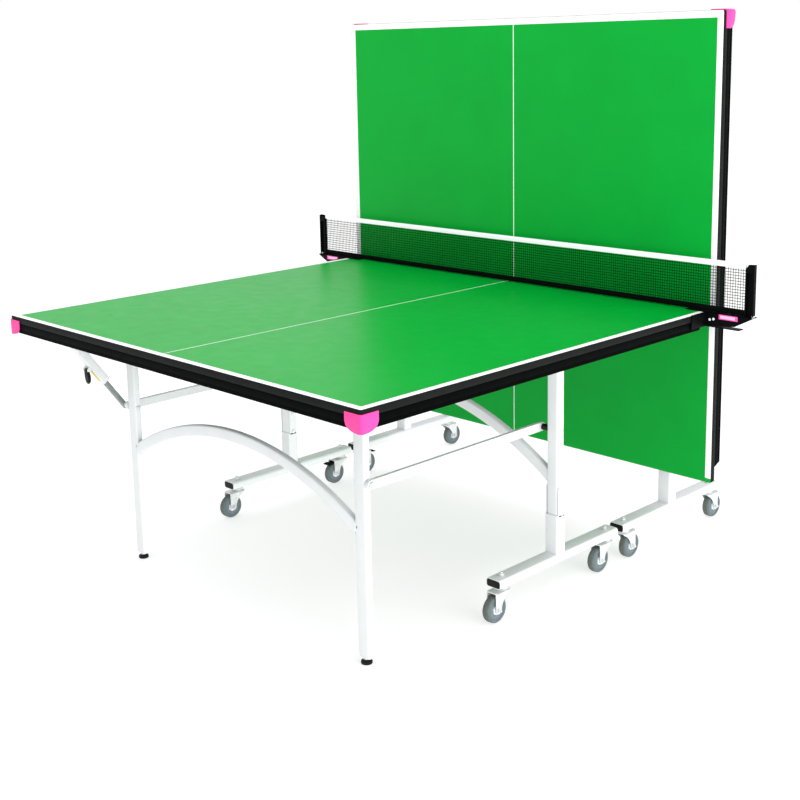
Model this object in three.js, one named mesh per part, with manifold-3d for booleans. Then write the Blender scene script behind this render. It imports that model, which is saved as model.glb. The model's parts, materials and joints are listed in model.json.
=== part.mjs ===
// A rollaway table tennis table. Each half is a board on a wheeled trolley. The near half stands
// flat for play with its end legs down. The far half is folded upright as a rebound board, with
// its legs hanging behind it. The net is bolted to the near half.
// Millimetres. +X runs along the net, +Y from the near end to the far half, +Z up.
import * as THREE from "three";
import { mergeVertices } from "three/addons/utils/BufferGeometryUtils.js";
import Module from "manifold-3d";

const wasm = await Module();
wasm.setup();

// ---- Driving dimensions ----

// Board
const TABLE_WIDTH = 1525;
const HALF_LENGTH = 1370;
const SURFACE_HEIGHT = 760;
const BOARD_THICKNESS = 19;
const BOARD_CORNER_RADIUS = 5;

// Fits
const CONTACT_GAP = 0.3; // between pieces that touch
const RUNNING_GAP = 0.6; // round a pin or axle
const SIDE_PLAY = 1.2; // between a turning piece and the cheek beside it

// Apron rails under the rim: open channels
const RAIL_HEIGHT = 30;
const RAIL_FLANGE = 22;
const RAIL_WALL = 2;
const RAIL_SETBACK = 1;
const RAIL_NET_SETBACK = 45;
const RAIL_END_CUT = 12;

// Corner guards on the two end corners
const GUARD_WING = 50;
const GUARD_THICKNESS = 3;
const GUARD_TOP_DROP = 11;
const GUARD_HEIGHT = 44;
const GUARD_ROUNDING = 24;

// Board pivot on the trolley posts
const PIVOT_INSET = 480; // from the net edge
const PIVOT_DROP = 47; // below the playing surface
const PIVOT_PIN_RADIUS = 6;
const EAR_THICKNESS = 3;
const EAR_RADIUS = 15;
const PIN_HEAD_THICKNESS = 3;
const PIN_HEAD_RADIUS = 9;

// Bearer plates that carry the pivots under the board
const BEARER_THICKNESS = 2.4;
const BEARER_MARGIN = 32;

// Trolley: posts, arch, sockets and wheel bars
const POST_INSET = 182.5; // from the side of the board
const POST_WIDTH = 38;
const POST_DEPTH = 30;
const POST_TOP_ABOVE_PIVOT = 13;
const TUBE_WALL = 2;
const TUBE_CORNER = 4;
const TROLLEY_ARCH_DROP = 223; // below the playing surface
const TROLLEY_ARCH_SAG = 190; // from its crown to its ends
const ARCH_BAND = 32;
const ARCH_DEPTH = 20;
const VENT_RADIUS = 4;
const SOCKET_WALL = 3;
const SOCKET_ARCH_GAP = 29; // from its cheeks to the ends of the arch
const SOCKET_FRONT_DROP = 83; // below the top of the cheeks
const SOCKET_CLEARANCE = 0.5;
const SOCKET_BOLT_DROPS = [78, 16]; // below the top of the cheeks
const BOLT_HEAD_RADIUS = 7;
const BOLT_HEAD_THICKNESS = 4;
const WELD_OVERLAP = 1; // how far joined shapes run into each other
const CUT_MARGIN = 1; // how far a cutting shape runs past a face
const BAR_WIDTH = 50;
const BAR_HEIGHT = 25;
const BAR_CORNER = 8;
const BAR_END_GAP = 26; // between the bars of the two halves

// Casters
const CASTER_END_INSET = 34; // stem to bar end
const CASTER_TRAIL = 30;
const WHEEL_RADIUS = 37.5;
const TYRE_WIDTH = 24;
const HUB_WIDTH = 27;
const AXLE_RADIUS = 4;
const FORK_PLATE = 2.5;
const FORK_BACK = 18; // behind the stem
const WHEEL_HEADROOM = 9; // under the crown
const CROWN_THICKNESS = 3;
const RACE_RADIUS = 19;
const RACE_THICKNESS = 3;
const RACE_GAP = 4; // between the races of the fork and the bar
const STEM_NUT_RADIUS = 9;
const STEM_NUT_HEIGHT = 8;
const STEM_RADIUS = 5;
const STEM_PROUD = 5;
const HUB_CHEEK_RADIUS = 11;
const AXLE_NUT_RADIUS = 7;
const WEB_RECESS = 3; // from the side of the tyre
const WEB_SHARE = 0.65; // of the wheel radius
const SHOULDER_SHARE = 0.85;
const CHEEK_WAIST_Y = 2; // behind the stem

// Brake pedal on one caster of each half
const PEDAL_THICKNESS = 2;
const PEDAL_LENGTH = 52;
const PEDAL_SLOPE = 0.12;
const PEDAL_TIP_START = 0.7; // along the pedal
const PEDAL_WIDTH = 24;
const PEDAL_TIP_WIDTH = 34;
const PEDAL_PIN_Y = -12; // from the stem
const PEDAL_PIN_DROP = 4; // below the crown
const PEDAL_PIN_RADIUS = 1.5;
const PEDAL_KNUCKLE_RADIUS = 3.2;

// End legs with their arch and levelling feet
const LEG_INSET = 80; // inside the posts
const LEG_END_INSET = 238; // from the end of the board
const LEG_WIDTH = 40;
const LEG_DEPTH = 20;
const LEG_BOTTOM = 18;
const LEG_TOP_ABOVE_PIVOT = 11;
const LEG_ARCH_DROP = 256; // below the playing surface
const LEG_ARCH_SAG = 144;
const FOOT_RADIUS = 15;
const FOOT_HEIGHT = 12;
const FOOT_STEM_RADIUS = 5;
const FOOT_STEM_LENGTH = 34;
const FOOT_BEVEL = 3;

// Link bars that keep the legs upright
const LINK_PIVOT_DROP = 236; // below the board pivot
const LINK_DEPTH = 25;
const LINK_WIDTH = 12;
const LINK_PIN_RADIUS = 5;
const SPACER_RADIUS = 9;

// Telescopic lock strut, on the left leg
const STRUT_ANCHOR_Y = 168; // from the leg pivot towards the end
const STRUT_ANCHOR_DROP = 8; // below the leg pivot
const STRUT_OFFSET = 53; // outside the leg's centre
const STRUT_OUTER_WIDTH = 26;
const STRUT_OUTER_DEPTH = 26;
const STRUT_OUTER_SHARE = 0.6285; // of the strut's length at rest
const STRUT_OUTER_HEAD = 12;
const STRUT_OUTER_WALL = 1.5;
const STRUT_INNER_WIDTH = 14;
const STRUT_INNER_DEPTH = 15;
const STRUT_INNER_SHARE = 0.8828;
const STRUT_INNER_HEAD = 10;
const STRUT_INNER_OFFSET = -2.8; // lets the tubes pass each other part-way through a fold
const LEVER_DISTANCE = 108; // strut anchor to lever pivot
const LEVER_LENGTH = 40;
const LEVER_WIDTH = 20;
const LEVER_THICKNESS = 6;
const LEVER_PIN_RADIUS = 3;
const LEVER_PIN_DROP = 8; // below the outer tube
const LEVER_SLIM_START = 12; // below its pin
const LEVER_OPENING = 34; // degrees from the strut at rest

// Net set
const NET_SETBACK = 20; // net plane to net edge of the board
const NET_TOP_HEIGHT = 152.5;
const NET_OVERHANG = 149.5; // past the side of the board
const NET_POST_WIDTH = 28;
const NET_POST_DEPTH = 12;
const NET_THICKNESS = 2;
const NET_TAPE_HEIGHT = 15;
const NET_TAPE_THICKNESS = 4;
const BRACKET_BAR_OVERLAP = 67.5; // over the board
const BRACKET_BAR_DEPTH = 24;
const BRACKET_BAR_THICKNESS = 3;
const BRACKET_PLATE = 3;
const BRACKET_PLATE_LENGTH = 96;
const BRACKET_GUSSET_DROP = 40;
const BRACKET_GUSSET_RISE = 10; // at its outer corner
const BRACKET_WING_OVERHANG = 111.5;
const BRACKET_BOLT_PLACES = [[16, 21], [28, 24]]; // past the plate and above its lower edge
const BRACKET_BOLT_RADIUS = 4;
const BRACKET_BOLT_PROUD = 2;
const NET_POST_SHORTFALL = 2; // below the net's top

// Far half: where its upright board stands
const FAR_SURFACE_Y = 25; // from the near half's net edge

// Facets
const ROUND_FACETS = 20;
const RACE_FACETS = 12;
const SMALL_FACETS = 8;
const NUT_FACETS = 6;
const CORNER_FACETS = 1; // half the facets of each arc in an outline
const END_FACETS = 3;
const ARCH_FACETS = 8;

// ---- Derived sizes ----

const QUARTER_TURN = Math.PI / 2;
const PIVOT_HEIGHT = SURFACE_HEIGHT - PIVOT_DROP;
const BOARD_UNDERSIDE = PIVOT_DROP - BOARD_THICKNESS; // above the pivot
const BOARD_END = PIVOT_INSET - HALF_LENGTH; // from the pivot
const POST_X = TABLE_WIDTH / 2 - POST_INSET;
const LEG_X = POST_X - LEG_INSET;
const STRUT_X = LEG_X + STRUT_OFFSET;
const LEG_OUTER = LEG_X + LEG_WIDTH / 2;
const POST_INNER = POST_X - POST_WIDTH / 2;
const TROLLEY_ARCH_TOP = SURFACE_HEIGHT - TROLLEY_ARCH_DROP;
const SOCKET_TOP = TROLLEY_ARCH_TOP - TROLLEY_ARCH_SAG - SOCKET_ARCH_GAP;
const LEG_ARCH_TOP = SURFACE_HEIGHT - LEG_ARCH_DROP;
const LINK_LENGTH = HALF_LENGTH - PIVOT_INSET - LEG_END_INSET; // pivot to pivot
const LINK_PIVOT_HEIGHT = PIVOT_HEIGHT - LINK_PIVOT_DROP;
const LINK_INNER = LEG_OUTER + EAR_THICKNESS;
const LINK_OUTER = LINK_INNER + LINK_WIDTH;
const LINK_X = (LINK_INNER + LINK_OUTER) / 2;
const STRUT_LENGTH = strutAt(0).length;
const STRUT_OUTER_LENGTH = STRUT_LENGTH * STRUT_OUTER_SHARE;
const STRUT_INNER_LENGTH = STRUT_LENGTH * STRUT_INNER_SHARE;
const CROWN_HEIGHT = 2 * WHEEL_RADIUS + WHEEL_HEADROOM + CROWN_THICKNESS;
const BAR_UNDERSIDE = CROWN_HEIGHT + 2 * RACE_THICKNESS + RACE_GAP;
const BAR_TOP = BAR_UNDERSIDE + BAR_HEIGHT;
const BAR_LENGTH = PIVOT_INSET + FAR_SURFACE_Y + PIVOT_DROP - BAR_END_GAP;
const STEM_REACH = BAR_LENGTH / 2 - CASTER_END_INSET;
const PEDAL_PIN_HEIGHT = CROWN_HEIGHT - CROWN_THICKNESS - PEDAL_PIN_DROP;
const NET_SUPPORT_REACH = TABLE_WIDTH / 2 + NET_OVERHANG;

function paint(color, roughness, metalness = 0) {
  return new THREE.MeshStandardMaterial({ color, roughness, metalness });
}

const finishes = {
  board: () => paint(0x16a03c, 0.45),
  rail: () => paint(0x18181a, 0.5),
  guard: () => paint(0xff4fd0, 0.4),
  frame: () => paint(0xf2f5f4, 0.35),
  strut: () => paint(0x9fa5a3, 0.35, 0.8),
  black: () => paint(0x111111, 0.55),
  zinc: () => paint(0xd9dcda, 0.3, 0.8),
  tyre: () => paint(0x7d8588, 0.8),
  net: () => paint(0x10231a, 0.9),
  tape: () => paint(0xf7f7fa, 0.7),
};

// ---- Solid helpers ----

function toSolid(geometry) {
  const bare = geometry.clone();
  bare.deleteAttribute("normal");
  bare.deleteAttribute("uv");
  const merged = mergeVertices(bare, 1e-4);
  const triVerts = new Uint32Array(merged.index.array);
  const vertProperties = merged.attributes.position.array;
  return new wasm.Manifold(new wasm.Mesh({ numProp: 3, vertProperties, triVerts }));
}

function toGeometry(solid) {
  const mesh = solid.getMesh();
  const geometry = new THREE.BufferGeometry();
  geometry.setAttribute("position", new THREE.BufferAttribute(mesh.vertProperties, 3));
  geometry.setIndex(new THREE.BufferAttribute(mesh.triVerts, 1));
  const faceted = geometry.toNonIndexed();
  faceted.computeVertexNormals();
  return faceted;
}

function join(...geometries) {
  return geometries.map(toSolid).reduce((sum, next) => sum.add(next));
}

function cut(solid, ...geometries) {
  return geometries.map(toSolid).reduce((rest, next) => rest.subtract(next), solid);
}

function extrude(shape, depth, curveSegments) {
  return new THREE.ExtrudeGeometry(shape, { depth, bevelEnabled: false, curveSegments });
}

// A shape in Y and Z, extruded from x0 to x1.
function extrudeX(shape, x0, x1, curveSegments = CORNER_FACETS) {
  const basis = [[0, 1, 0], [0, 0, 1], [1, 0, 0]].map((axis) => new THREE.Vector3(...axis));
  const axes = new THREE.Matrix4().makeBasis(...basis);
  const depth = Math.abs(x1 - x0);
  return extrude(shape, depth, curveSegments).applyMatrix4(axes).translate(Math.min(x0, x1), 0, 0);
}

// A shape in X and Z, extruded from y0 to y1.
function extrudeY(shape, y0, y1, curveSegments = CORNER_FACETS) {
  return extrude(shape, y1 - y0, curveSegments).rotateX(QUARTER_TURN).translate(0, y1, 0);
}

// A shape in X and Y, extruded from z0 to z1.
function extrudeZ(shape, z0, z1, curveSegments = CORNER_FACETS) {
  return extrude(shape, z1 - z0, curveSegments).translate(0, 0, z0);
}

function box(x0, x1, y0, y1, z0, z1) {
  const size = [Math.abs(x1 - x0), Math.abs(y1 - y0), Math.abs(z1 - z0)];
  const middle = [(x0 + x1) / 2, (y0 + y1) / 2, (z0 + z1) / 2];
  return new THREE.BoxGeometry(...size).translate(...middle);
}

// A cylinder along X.
function rod(radius, x0, x1, y, z, facets = SMALL_FACETS) {
  const length = Math.abs(x1 - x0);
  return new THREE.CylinderGeometry(radius, radius, length, facets)
    .rotateZ(QUARTER_TURN).translate((x0 + x1) / 2, y, z);
}

// A cylinder along Z.
function disc(radius, z0, z1, x, y, facets = SMALL_FACETS) {
  return new THREE.CylinderGeometry(radius, radius, z1 - z0, facets)
    .rotateX(QUARTER_TURN).translate(x, y, (z0 + z1) / 2);
}

// A cylinder along Y.
function peg(radius, y0, y1, x, z, facets = SMALL_FACETS) {
  return new THREE.CylinderGeometry(radius, radius, y1 - y0, facets).translate(x, (y0 + y1) / 2, z);
}

function outline(points) {
  return new THREE.Shape(points.map(([u, v]) => new THREE.Vector2(u, v)));
}

function roundedRectangle(path, width, height, radius) {
  const [u, v] = [width / 2, height / 2];
  path.moveTo(-u + radius, -v);
  path.lineTo(u - radius, -v);
  path.absarc(u - radius, -v + radius, radius, -QUARTER_TURN, 0);
  path.lineTo(u, v - radius);
  path.absarc(u - radius, v - radius, radius, 0, QUARTER_TURN);
  path.lineTo(-u + radius, v);
  path.absarc(-u + radius, v - radius, radius, QUARTER_TURN, 2 * QUARTER_TURN);
  path.lineTo(-u, -v + radius);
  path.absarc(-u + radius, -v + radius, radius, 2 * QUARTER_TURN, 3 * QUARTER_TURN);
  return path;
}

// The section of a rectangular tube.
function tubeSection(width, height, radius, wall) {
  const section = roundedRectangle(new THREE.Shape(), width, height, radius);
  const inside = [width - 2 * wall, height - 2 * wall, radius - wall / 2];
  section.holes.push(roundedRectangle(new THREE.Path(), ...inside));
  return section;
}

// A flat bar with round ends, from (u0, v0) to (u1, v1), in a plane.
function roundEndedBar(u0, v0, u1, v1, radius) {
  const angle = Math.atan2(v1 - v0, u1 - u0);
  const shape = new THREE.Shape();
  shape.absarc(u1, v1, radius, angle - QUARTER_TURN, angle + QUARTER_TURN);
  shape.absarc(u0, v0, radius, angle + QUARTER_TURN, angle + 3 * QUARTER_TURN);
  return shape;
}

// A band bent to a circular arch: its top edge peaks at height top, and it ends at x = ±reach.
function archBand(top, radius, band, reach) {
  const centre = top - radius;
  const inner = radius - band;
  const outerAngle = Math.asin(reach / radius);
  const innerAngle = Math.asin(reach / inner);
  const shape = new THREE.Shape();
  shape.absarc(0, centre, radius, QUARTER_TURN - outerAngle, QUARTER_TURN + outerAngle);
  shape.absarc(0, centre, inner, QUARTER_TURN + innerAngle, QUARTER_TURN - innerAngle, true);
  return shape;
}

// A hollow arch tube with a vent hole at the back of its crown. Its ends lie sag below its crown.
function archTube(top, sag, reach) {
  const radius = (reach * reach + sag * sag) / (2 * sag);
  const half = ARCH_DEPTH / 2;
  const skin = extrudeY(archBand(top, radius, ARCH_BAND, reach), -half, half, ARCH_FACETS);
  const inside = archBand(top - TUBE_WALL, radius - TUBE_WALL, ARCH_BAND - 2 * TUBE_WALL, reach - TUBE_WALL);
  const bore = extrudeY(inside, TUBE_WALL - half, half - TUBE_WALL, ARCH_FACETS);
  const vent = peg(VENT_RADIUS, half - 2 * TUBE_WALL, half + TUBE_WALL, 0, top - ARCH_BAND / 2);
  return { skin, bore, vent };
}

// ---- Scene graph helpers ----

function addBody(parent, name, x, y, z) {
  const group = new THREE.Group();
  group.name = name;
  group.position.set(x, y, z);
  parent.add(group);
  return group;
}

function addPart(parent, name, shape, finish) {
  const geometry = shape.isBufferGeometry ? shape : toGeometry(shape);
  const mesh = new THREE.Mesh(geometry, finishes[finish]());
  mesh.name = name;
  parent.add(mesh);
  return mesh;
}

// ---- Board and its frame, with the origin at the pivot axis ----

function board() {
  const plan = roundedRectangle(new THREE.Shape(), TABLE_WIDTH, HALF_LENGTH, BOARD_CORNER_RADIUS);
  return extrudeZ(plan, BOARD_UNDERSIDE, PIVOT_DROP).translate(0, BOARD_END + HALF_LENGTH / 2, 0);
}

// A channel section open towards +u: its web stands at u = 0.
function channelSection(turn) {
  const top = BOARD_UNDERSIDE - CONTACT_GAP;
  const bottom = BOARD_UNDERSIDE - RAIL_HEIGHT;
  return outline([
    [0, bottom], [RAIL_FLANGE, bottom], [RAIL_FLANGE, bottom + RAIL_WALL], [RAIL_WALL, bottom + RAIL_WALL],
    [RAIL_WALL, top - RAIL_WALL], [RAIL_FLANGE, top - RAIL_WALL], [RAIL_FLANGE, top], [0, top],
  ].map(([u, v]) => [turn * u, v]));
}

function endRail() {
  const reach = TABLE_WIDTH / 2 - RAIL_SETBACK;
  return extrudeX(channelSection(1), -reach, reach).translate(0, BOARD_END + RAIL_SETBACK, 0);
}

function sideRail(side) {
  const start = BOARD_END + RAIL_SETBACK + RAIL_FLANGE + CONTACT_GAP;
  const end = PIVOT_INSET - RAIL_NET_SETBACK;
  const rail = extrudeY(channelSection(-side), start, end)
    .translate(side * (TABLE_WIDTH / 2 - RAIL_SETBACK), 0, 0);
  const top = BOARD_UNDERSIDE;
  const bottom = top - RAIL_HEIGHT - RAIL_WALL;
  const past = end + CUT_MARGIN;
  const wedge = outline([[past, top], [past, bottom], [end - RAIL_END_CUT, bottom], [end, top]]);
  const reach = side * TABLE_WIDTH / 2;
  return cut(toSolid(rail), extrudeX(wedge, reach - 2 * RAIL_FLANGE, reach + 2 * RAIL_FLANGE));
}

// A plastic guard that wraps one end corner: two wings with rounded lower ends.
function cornerGuard(side) {
  const top = PIVOT_DROP - GUARD_TOP_DROP;
  const bottom = top - GUARD_HEIGHT;
  const proud = CONTACT_GAP + GUARD_THICKNESS;
  const wing = (corner, turn) => {
    const wingEnd = corner - turn * GUARD_WING;
    const shape = new THREE.Shape();
    shape.moveTo(corner, bottom);
    shape.quadraticCurveTo(wingEnd + turn * GUARD_THICKNESS, bottom, wingEnd, bottom + GUARD_ROUNDING);
    shape.lineTo(wingEnd, top);
    shape.lineTo(corner, top);
    return shape;
  };
  const edgeX = TABLE_WIDTH / 2;
  const endWing = extrudeY(
    wing(side * (edgeX + proud), side), BOARD_END - proud, BOARD_END - CONTACT_GAP, 2 * END_FACETS);
  const sideWing = extrudeX(
    wing(BOARD_END - proud, -1), side * (edgeX + CONTACT_GAP), side * (edgeX + proud), 2 * END_FACETS);
  return join(endWing, sideWing);
}

// A pair of ears and the pin between them, hanging from a bearer plate.
function pivotEars(x, halfWidth, y, z, pinRadius) {
  const inner = halfWidth + SIDE_PLAY;
  const outer = inner + EAR_THICKNESS;
  const ear = roundEndedBar(y, z, y, BOARD_UNDERSIDE - CONTACT_GAP - EAR_RADIUS, EAR_RADIUS);
  const ears = [-1, 1].map((turn) => extrudeX(ear, x + turn * inner, x + turn * outer, END_FACETS));
  const head = outer + PIN_HEAD_THICKNESS;
  const heads = [-1, 1].map((turn) => rod(PIN_HEAD_RADIUS, x + turn * outer, x + turn * head, y, z));
  return [...ears, ...heads, rod(pinRadius, x - outer, x + outer, y, z)];
}

// The steel plate under the board that carries the post pivot, the leg pivot and, on the left, the strut.
function bearer(side) {
  const holdsStrut = side < 0;
  const top = BOARD_UNDERSIDE - CONTACT_GAP;
  const inner = LEG_X - LEG_WIDTH / 2 - SIDE_PLAY - EAR_THICKNESS;
  const outer = POST_X + POST_WIDTH / 2 + SIDE_PLAY + EAR_THICKNESS;
  const farEnd = -LINK_LENGTH - (holdsStrut ? STRUT_ANCHOR_Y : 0) - BEARER_MARGIN;
  const plate = box(side * inner, side * outer, farEnd, BEARER_MARGIN, top - BEARER_THICKNESS, top);
  const pieces = [
    plate,
    ...pivotEars(side * POST_X, POST_WIDTH / 2, 0, 0, PIVOT_PIN_RADIUS),
    ...pivotEars(side * LEG_X, LEG_WIDTH / 2, -LINK_LENGTH, 0, PIVOT_PIN_RADIUS),
  ];
  if (holdsStrut) {
    const anchorY = -LINK_LENGTH - STRUT_ANCHOR_Y;
    pieces.push(
      ...pivotEars(side * STRUT_X, STRUT_OUTER_WIDTH / 2, anchorY, -STRUT_ANCHOR_DROP, LINK_PIN_RADIUS));
  }
  return join(...pieces);
}

// ---- Legs, with the origin at the leg pivot axis ----

function legFrame() {
  const legTube = tubeSection(LEG_WIDTH, LEG_DEPTH, TUBE_CORNER, TUBE_WALL);
  const bottom = LEG_BOTTOM - PIVOT_HEIGHT;
  const linkHeight = LINK_PIVOT_HEIGHT - PIVOT_HEIGHT;
  const inside = [LEG_WIDTH - 2 * TUBE_WALL, LEG_DEPTH - 2 * TUBE_WALL, TUBE_CORNER - TUBE_WALL / 2];
  const arch = archTube(LEG_ARCH_TOP - PIVOT_HEIGHT, LEG_ARCH_SAG, LEG_X);
  let frame = toSolid(arch.skin);
  for (const side of [-1, 1]) {
    const x = side * LEG_X;
    frame = frame.add(toSolid(extrudeZ(legTube, bottom, LEG_TOP_ABOVE_PIVOT).translate(x, 0, 0)));
    const bore = roundedRectangle(new THREE.Shape(), ...inside);
    const boreTop = LEG_TOP_ABOVE_PIVOT + CUT_MARGIN;
    frame = cut(frame, extrudeZ(bore, bottom - CUT_MARGIN, boreTop).translate(x, 0, 0));
  }
  frame = cut(frame, arch.vent);
  const hollow = toSolid(arch.bore).subtract(
    join(...[-1, 1].map((side) => box(
      side * (LEG_X - LEG_WIDTH / 2), side * (LEG_OUTER + TUBE_WALL), -LEG_DEPTH, LEG_DEPTH, bottom, 0))));
  frame = frame.subtract(hollow);
  for (const side of [-1, 1]) {
    const pinEnd = side < 0 ? STRUT_X + STRUT_OUTER_WIDTH / 2 - SIDE_PLAY : LINK_OUTER + SIDE_PLAY;
    const pin = rod(LINK_PIN_RADIUS, side * LEG_X, side * pinEnd, 0, linkHeight);
    const head = rod(
      PIN_HEAD_RADIUS, side * (pinEnd - CONTACT_GAP), side * (pinEnd + PIN_HEAD_THICKNESS), 0, linkHeight);
    const innerHead = rod(
      PIN_HEAD_RADIUS, side * (LEG_X - LEG_WIDTH / 2 - PIN_HEAD_THICKNESS), side * LEG_X, 0, linkHeight);
    frame = frame.add(join(pin, head, innerHead));
    const reach = [side * (LEG_X - LEG_WIDTH), side * (LEG_X + LEG_WIDTH)];
    frame = cut(frame, rod(PIVOT_PIN_RADIUS + RUNNING_GAP, ...reach, 0, 0));
  }
  return frame;
}

// A levelling foot: a round pad on a stem that stands inside the leg tube.
function foot() {
  const rim = FOOT_RADIUS;
  const profile = [
    [0, 0], [rim - FOOT_BEVEL, 0], [rim, FOOT_BEVEL], [rim, FOOT_HEIGHT / 2], [rim / 2, FOOT_HEIGHT],
    [FOOT_STEM_RADIUS, FOOT_HEIGHT], [FOOT_STEM_RADIUS, FOOT_HEIGHT + FOOT_STEM_LENGTH],
    [0, FOOT_HEIGHT + FOOT_STEM_LENGTH],
  ].map(([r, z]) => new THREE.Vector2(r, z));
  return new THREE.LatheGeometry(profile, SMALL_FACETS).rotateX(QUARTER_TURN);
}

// ---- Link bars, with the origin at the post end ----

function link() {
  const bar = extrudeX(
    roundEndedBar(-LINK_LENGTH, 0, 0, 0, LINK_DEPTH / 2), -LINK_WIDTH / 2, LINK_WIDTH / 2, END_FACETS);
  const boreRadius = LINK_PIN_RADIUS + RUNNING_GAP;
  const bores = [0, -LINK_LENGTH].map((y) => rod(boreRadius, -LINK_WIDTH, LINK_WIDTH, y, 0));
  return cut(toSolid(bar), ...bores);
}

// ---- Lock strut ----

// Length and tilt of the strut for a fold angle of the board.
function strutAt(fold) {
  const [y, z] = [-STRUT_ANCHOR_Y, -STRUT_ANCHOR_DROP];
  const anchorY = y * Math.cos(fold) + z * Math.sin(fold);
  const anchorZ = -y * Math.sin(fold) + z * Math.cos(fold);
  const runY = -anchorY;
  const runZ = LINK_PIVOT_HEIGHT - PIVOT_HEIGHT - anchorZ;
  return { length: Math.hypot(runY, runZ), tilt: Math.atan2(runY, -runZ) };
}

// The outer tube runs down from its anchor pin.
function strutOuter() {
  const section = tubeSection(STRUT_OUTER_WIDTH, STRUT_OUTER_DEPTH, TUBE_CORNER, STRUT_OUTER_WALL);
  const tube = extrudeZ(section, -STRUT_OUTER_LENGTH, STRUT_OUTER_HEAD);
  const bore = rod(LINK_PIN_RADIUS + RUNNING_GAP, -STRUT_OUTER_WIDTH, STRUT_OUTER_WIDTH, 0, 0);
  const lugY = -STRUT_OUTER_DEPTH / 2;
  const pinY = lugY - LEVER_PIN_DROP;
  const lug = roundEndedBar(lugY, -LEVER_DISTANCE, pinY, -LEVER_DISTANCE, 2 * LEVER_PIN_RADIUS);
  const wide = STRUT_OUTER_WIDTH / 2;
  const narrow = LEVER_WIDTH / 2 + SIDE_PLAY / 2;
  const inside = box(-wide, wide, lugY + STRUT_OUTER_WALL, STRUT_OUTER_DEPTH, -STRUT_OUTER_LENGTH, 0);
  const lugs = join(extrudeX(lug, -wide, -narrow), extrudeX(lug, narrow, wide)).subtract(toSolid(inside));
  const pin = rod(LEVER_PIN_RADIUS, WELD_OVERLAP - wide, wide - WELD_OVERLAP, pinY, -LEVER_DISTANCE);
  return cut(toSolid(tube), bore).add(lugs).add(toSolid(pin));
}

// The paddle that frees the strut, with its origin at its pin.
function strutLever() {
  const paddle = roundEndedBar(0, 0, 0, -LEVER_LENGTH, LEVER_THICKNESS);
  const slim = box(
    -LEVER_WIDTH, LEVER_WIDTH, -LEVER_LENGTH, -LEVER_THICKNESS / 2, -2 * LEVER_LENGTH, -LEVER_SLIM_START);
  const bore = rod(LEVER_PIN_RADIUS + RUNNING_GAP, -LEVER_WIDTH, LEVER_WIDTH, 0, 0);
  return cut(toSolid(extrudeX(paddle, -LEVER_WIDTH / 2, LEVER_WIDTH / 2, END_FACETS)), bore, slim);
}

// The inner tube runs up from the leg pin.
function strutInner() {
  const section = tubeSection(STRUT_INNER_WIDTH, STRUT_INNER_DEPTH, TUBE_CORNER, TUBE_WALL);
  const tube = extrudeZ(section, -STRUT_INNER_HEAD, STRUT_INNER_LENGTH).translate(0, STRUT_INNER_OFFSET, 0);
  return cut(toSolid(tube), rod(LINK_PIN_RADIUS + RUNNING_GAP, -STRUT_INNER_WIDTH, STRUT_INNER_WIDTH, 0, 0));
}

// ---- Trolley, with the origin on the floor below the pivot axis ----

// Both posts and the arch between them, with the pins that carry the link bars.
function uprightFrame() {
  const bottom = BAR_TOP + CONTACT_GAP;
  const top = PIVOT_HEIGHT + POST_TOP_ABOVE_PIVOT;
  const arch = archTube(TROLLEY_ARCH_TOP, TROLLEY_ARCH_SAG, POST_X);
  const tube = tubeSection(POST_WIDTH, POST_DEPTH, TUBE_CORNER, TUBE_WALL);
  const inside = [POST_WIDTH - 2 * TUBE_WALL, POST_DEPTH - 2 * TUBE_WALL, TUBE_CORNER - TUBE_WALL / 2];
  let frame = toSolid(arch.skin);
  for (const side of [-1, 1]) {
    const x = side * POST_X;
    frame = frame.add(toSolid(extrudeZ(tube, bottom, top).translate(x, 0, 0)));
    const bore = roundedRectangle(new THREE.Shape(), ...inside);
    frame = cut(frame, extrudeZ(bore, bottom - CUT_MARGIN, top + CUT_MARGIN).translate(x, 0, 0));
  }
  frame = cut(frame, arch.vent);
  const postZone = [-1, 1].map((side) => box(
    side * POST_INNER, side * (POST_X + POST_WIDTH), -POST_DEPTH, POST_DEPTH, bottom, top));
  frame = frame.subtract(toSolid(arch.bore).subtract(join(...postZone)));
  for (const side of [-1, 1]) {
    const z = LINK_PIVOT_HEIGHT;
    const spacer = rod(SPACER_RADIUS, side * (LINK_OUTER + SIDE_PLAY), side * POST_X, 0, z);
    const pin = rod(LINK_PIN_RADIUS, side * (LINK_INNER - SIDE_PLAY), side * POST_X, 0, z);
    const headFace = LINK_INNER - SIDE_PLAY;
    const head = rod(PIN_HEAD_RADIUS, side * (headFace - PIN_HEAD_THICKNESS), side * headFace, 0, z);
    const outerFace = POST_X + POST_WIDTH / 2;
    const bolt = rod(BOLT_HEAD_RADIUS, side * POST_X, side * (outerFace + BOLT_HEAD_THICKNESS), 0, z);
    frame = frame.add(join(spacer, pin, head, bolt));
    const reach = [side * (POST_X - POST_WIDTH), side * (POST_X + POST_WIDTH)];
    frame = cut(frame, rod(PIVOT_PIN_RADIUS + RUNNING_GAP, ...reach, 0, PIVOT_HEIGHT));
  }
  return frame;
}

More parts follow.
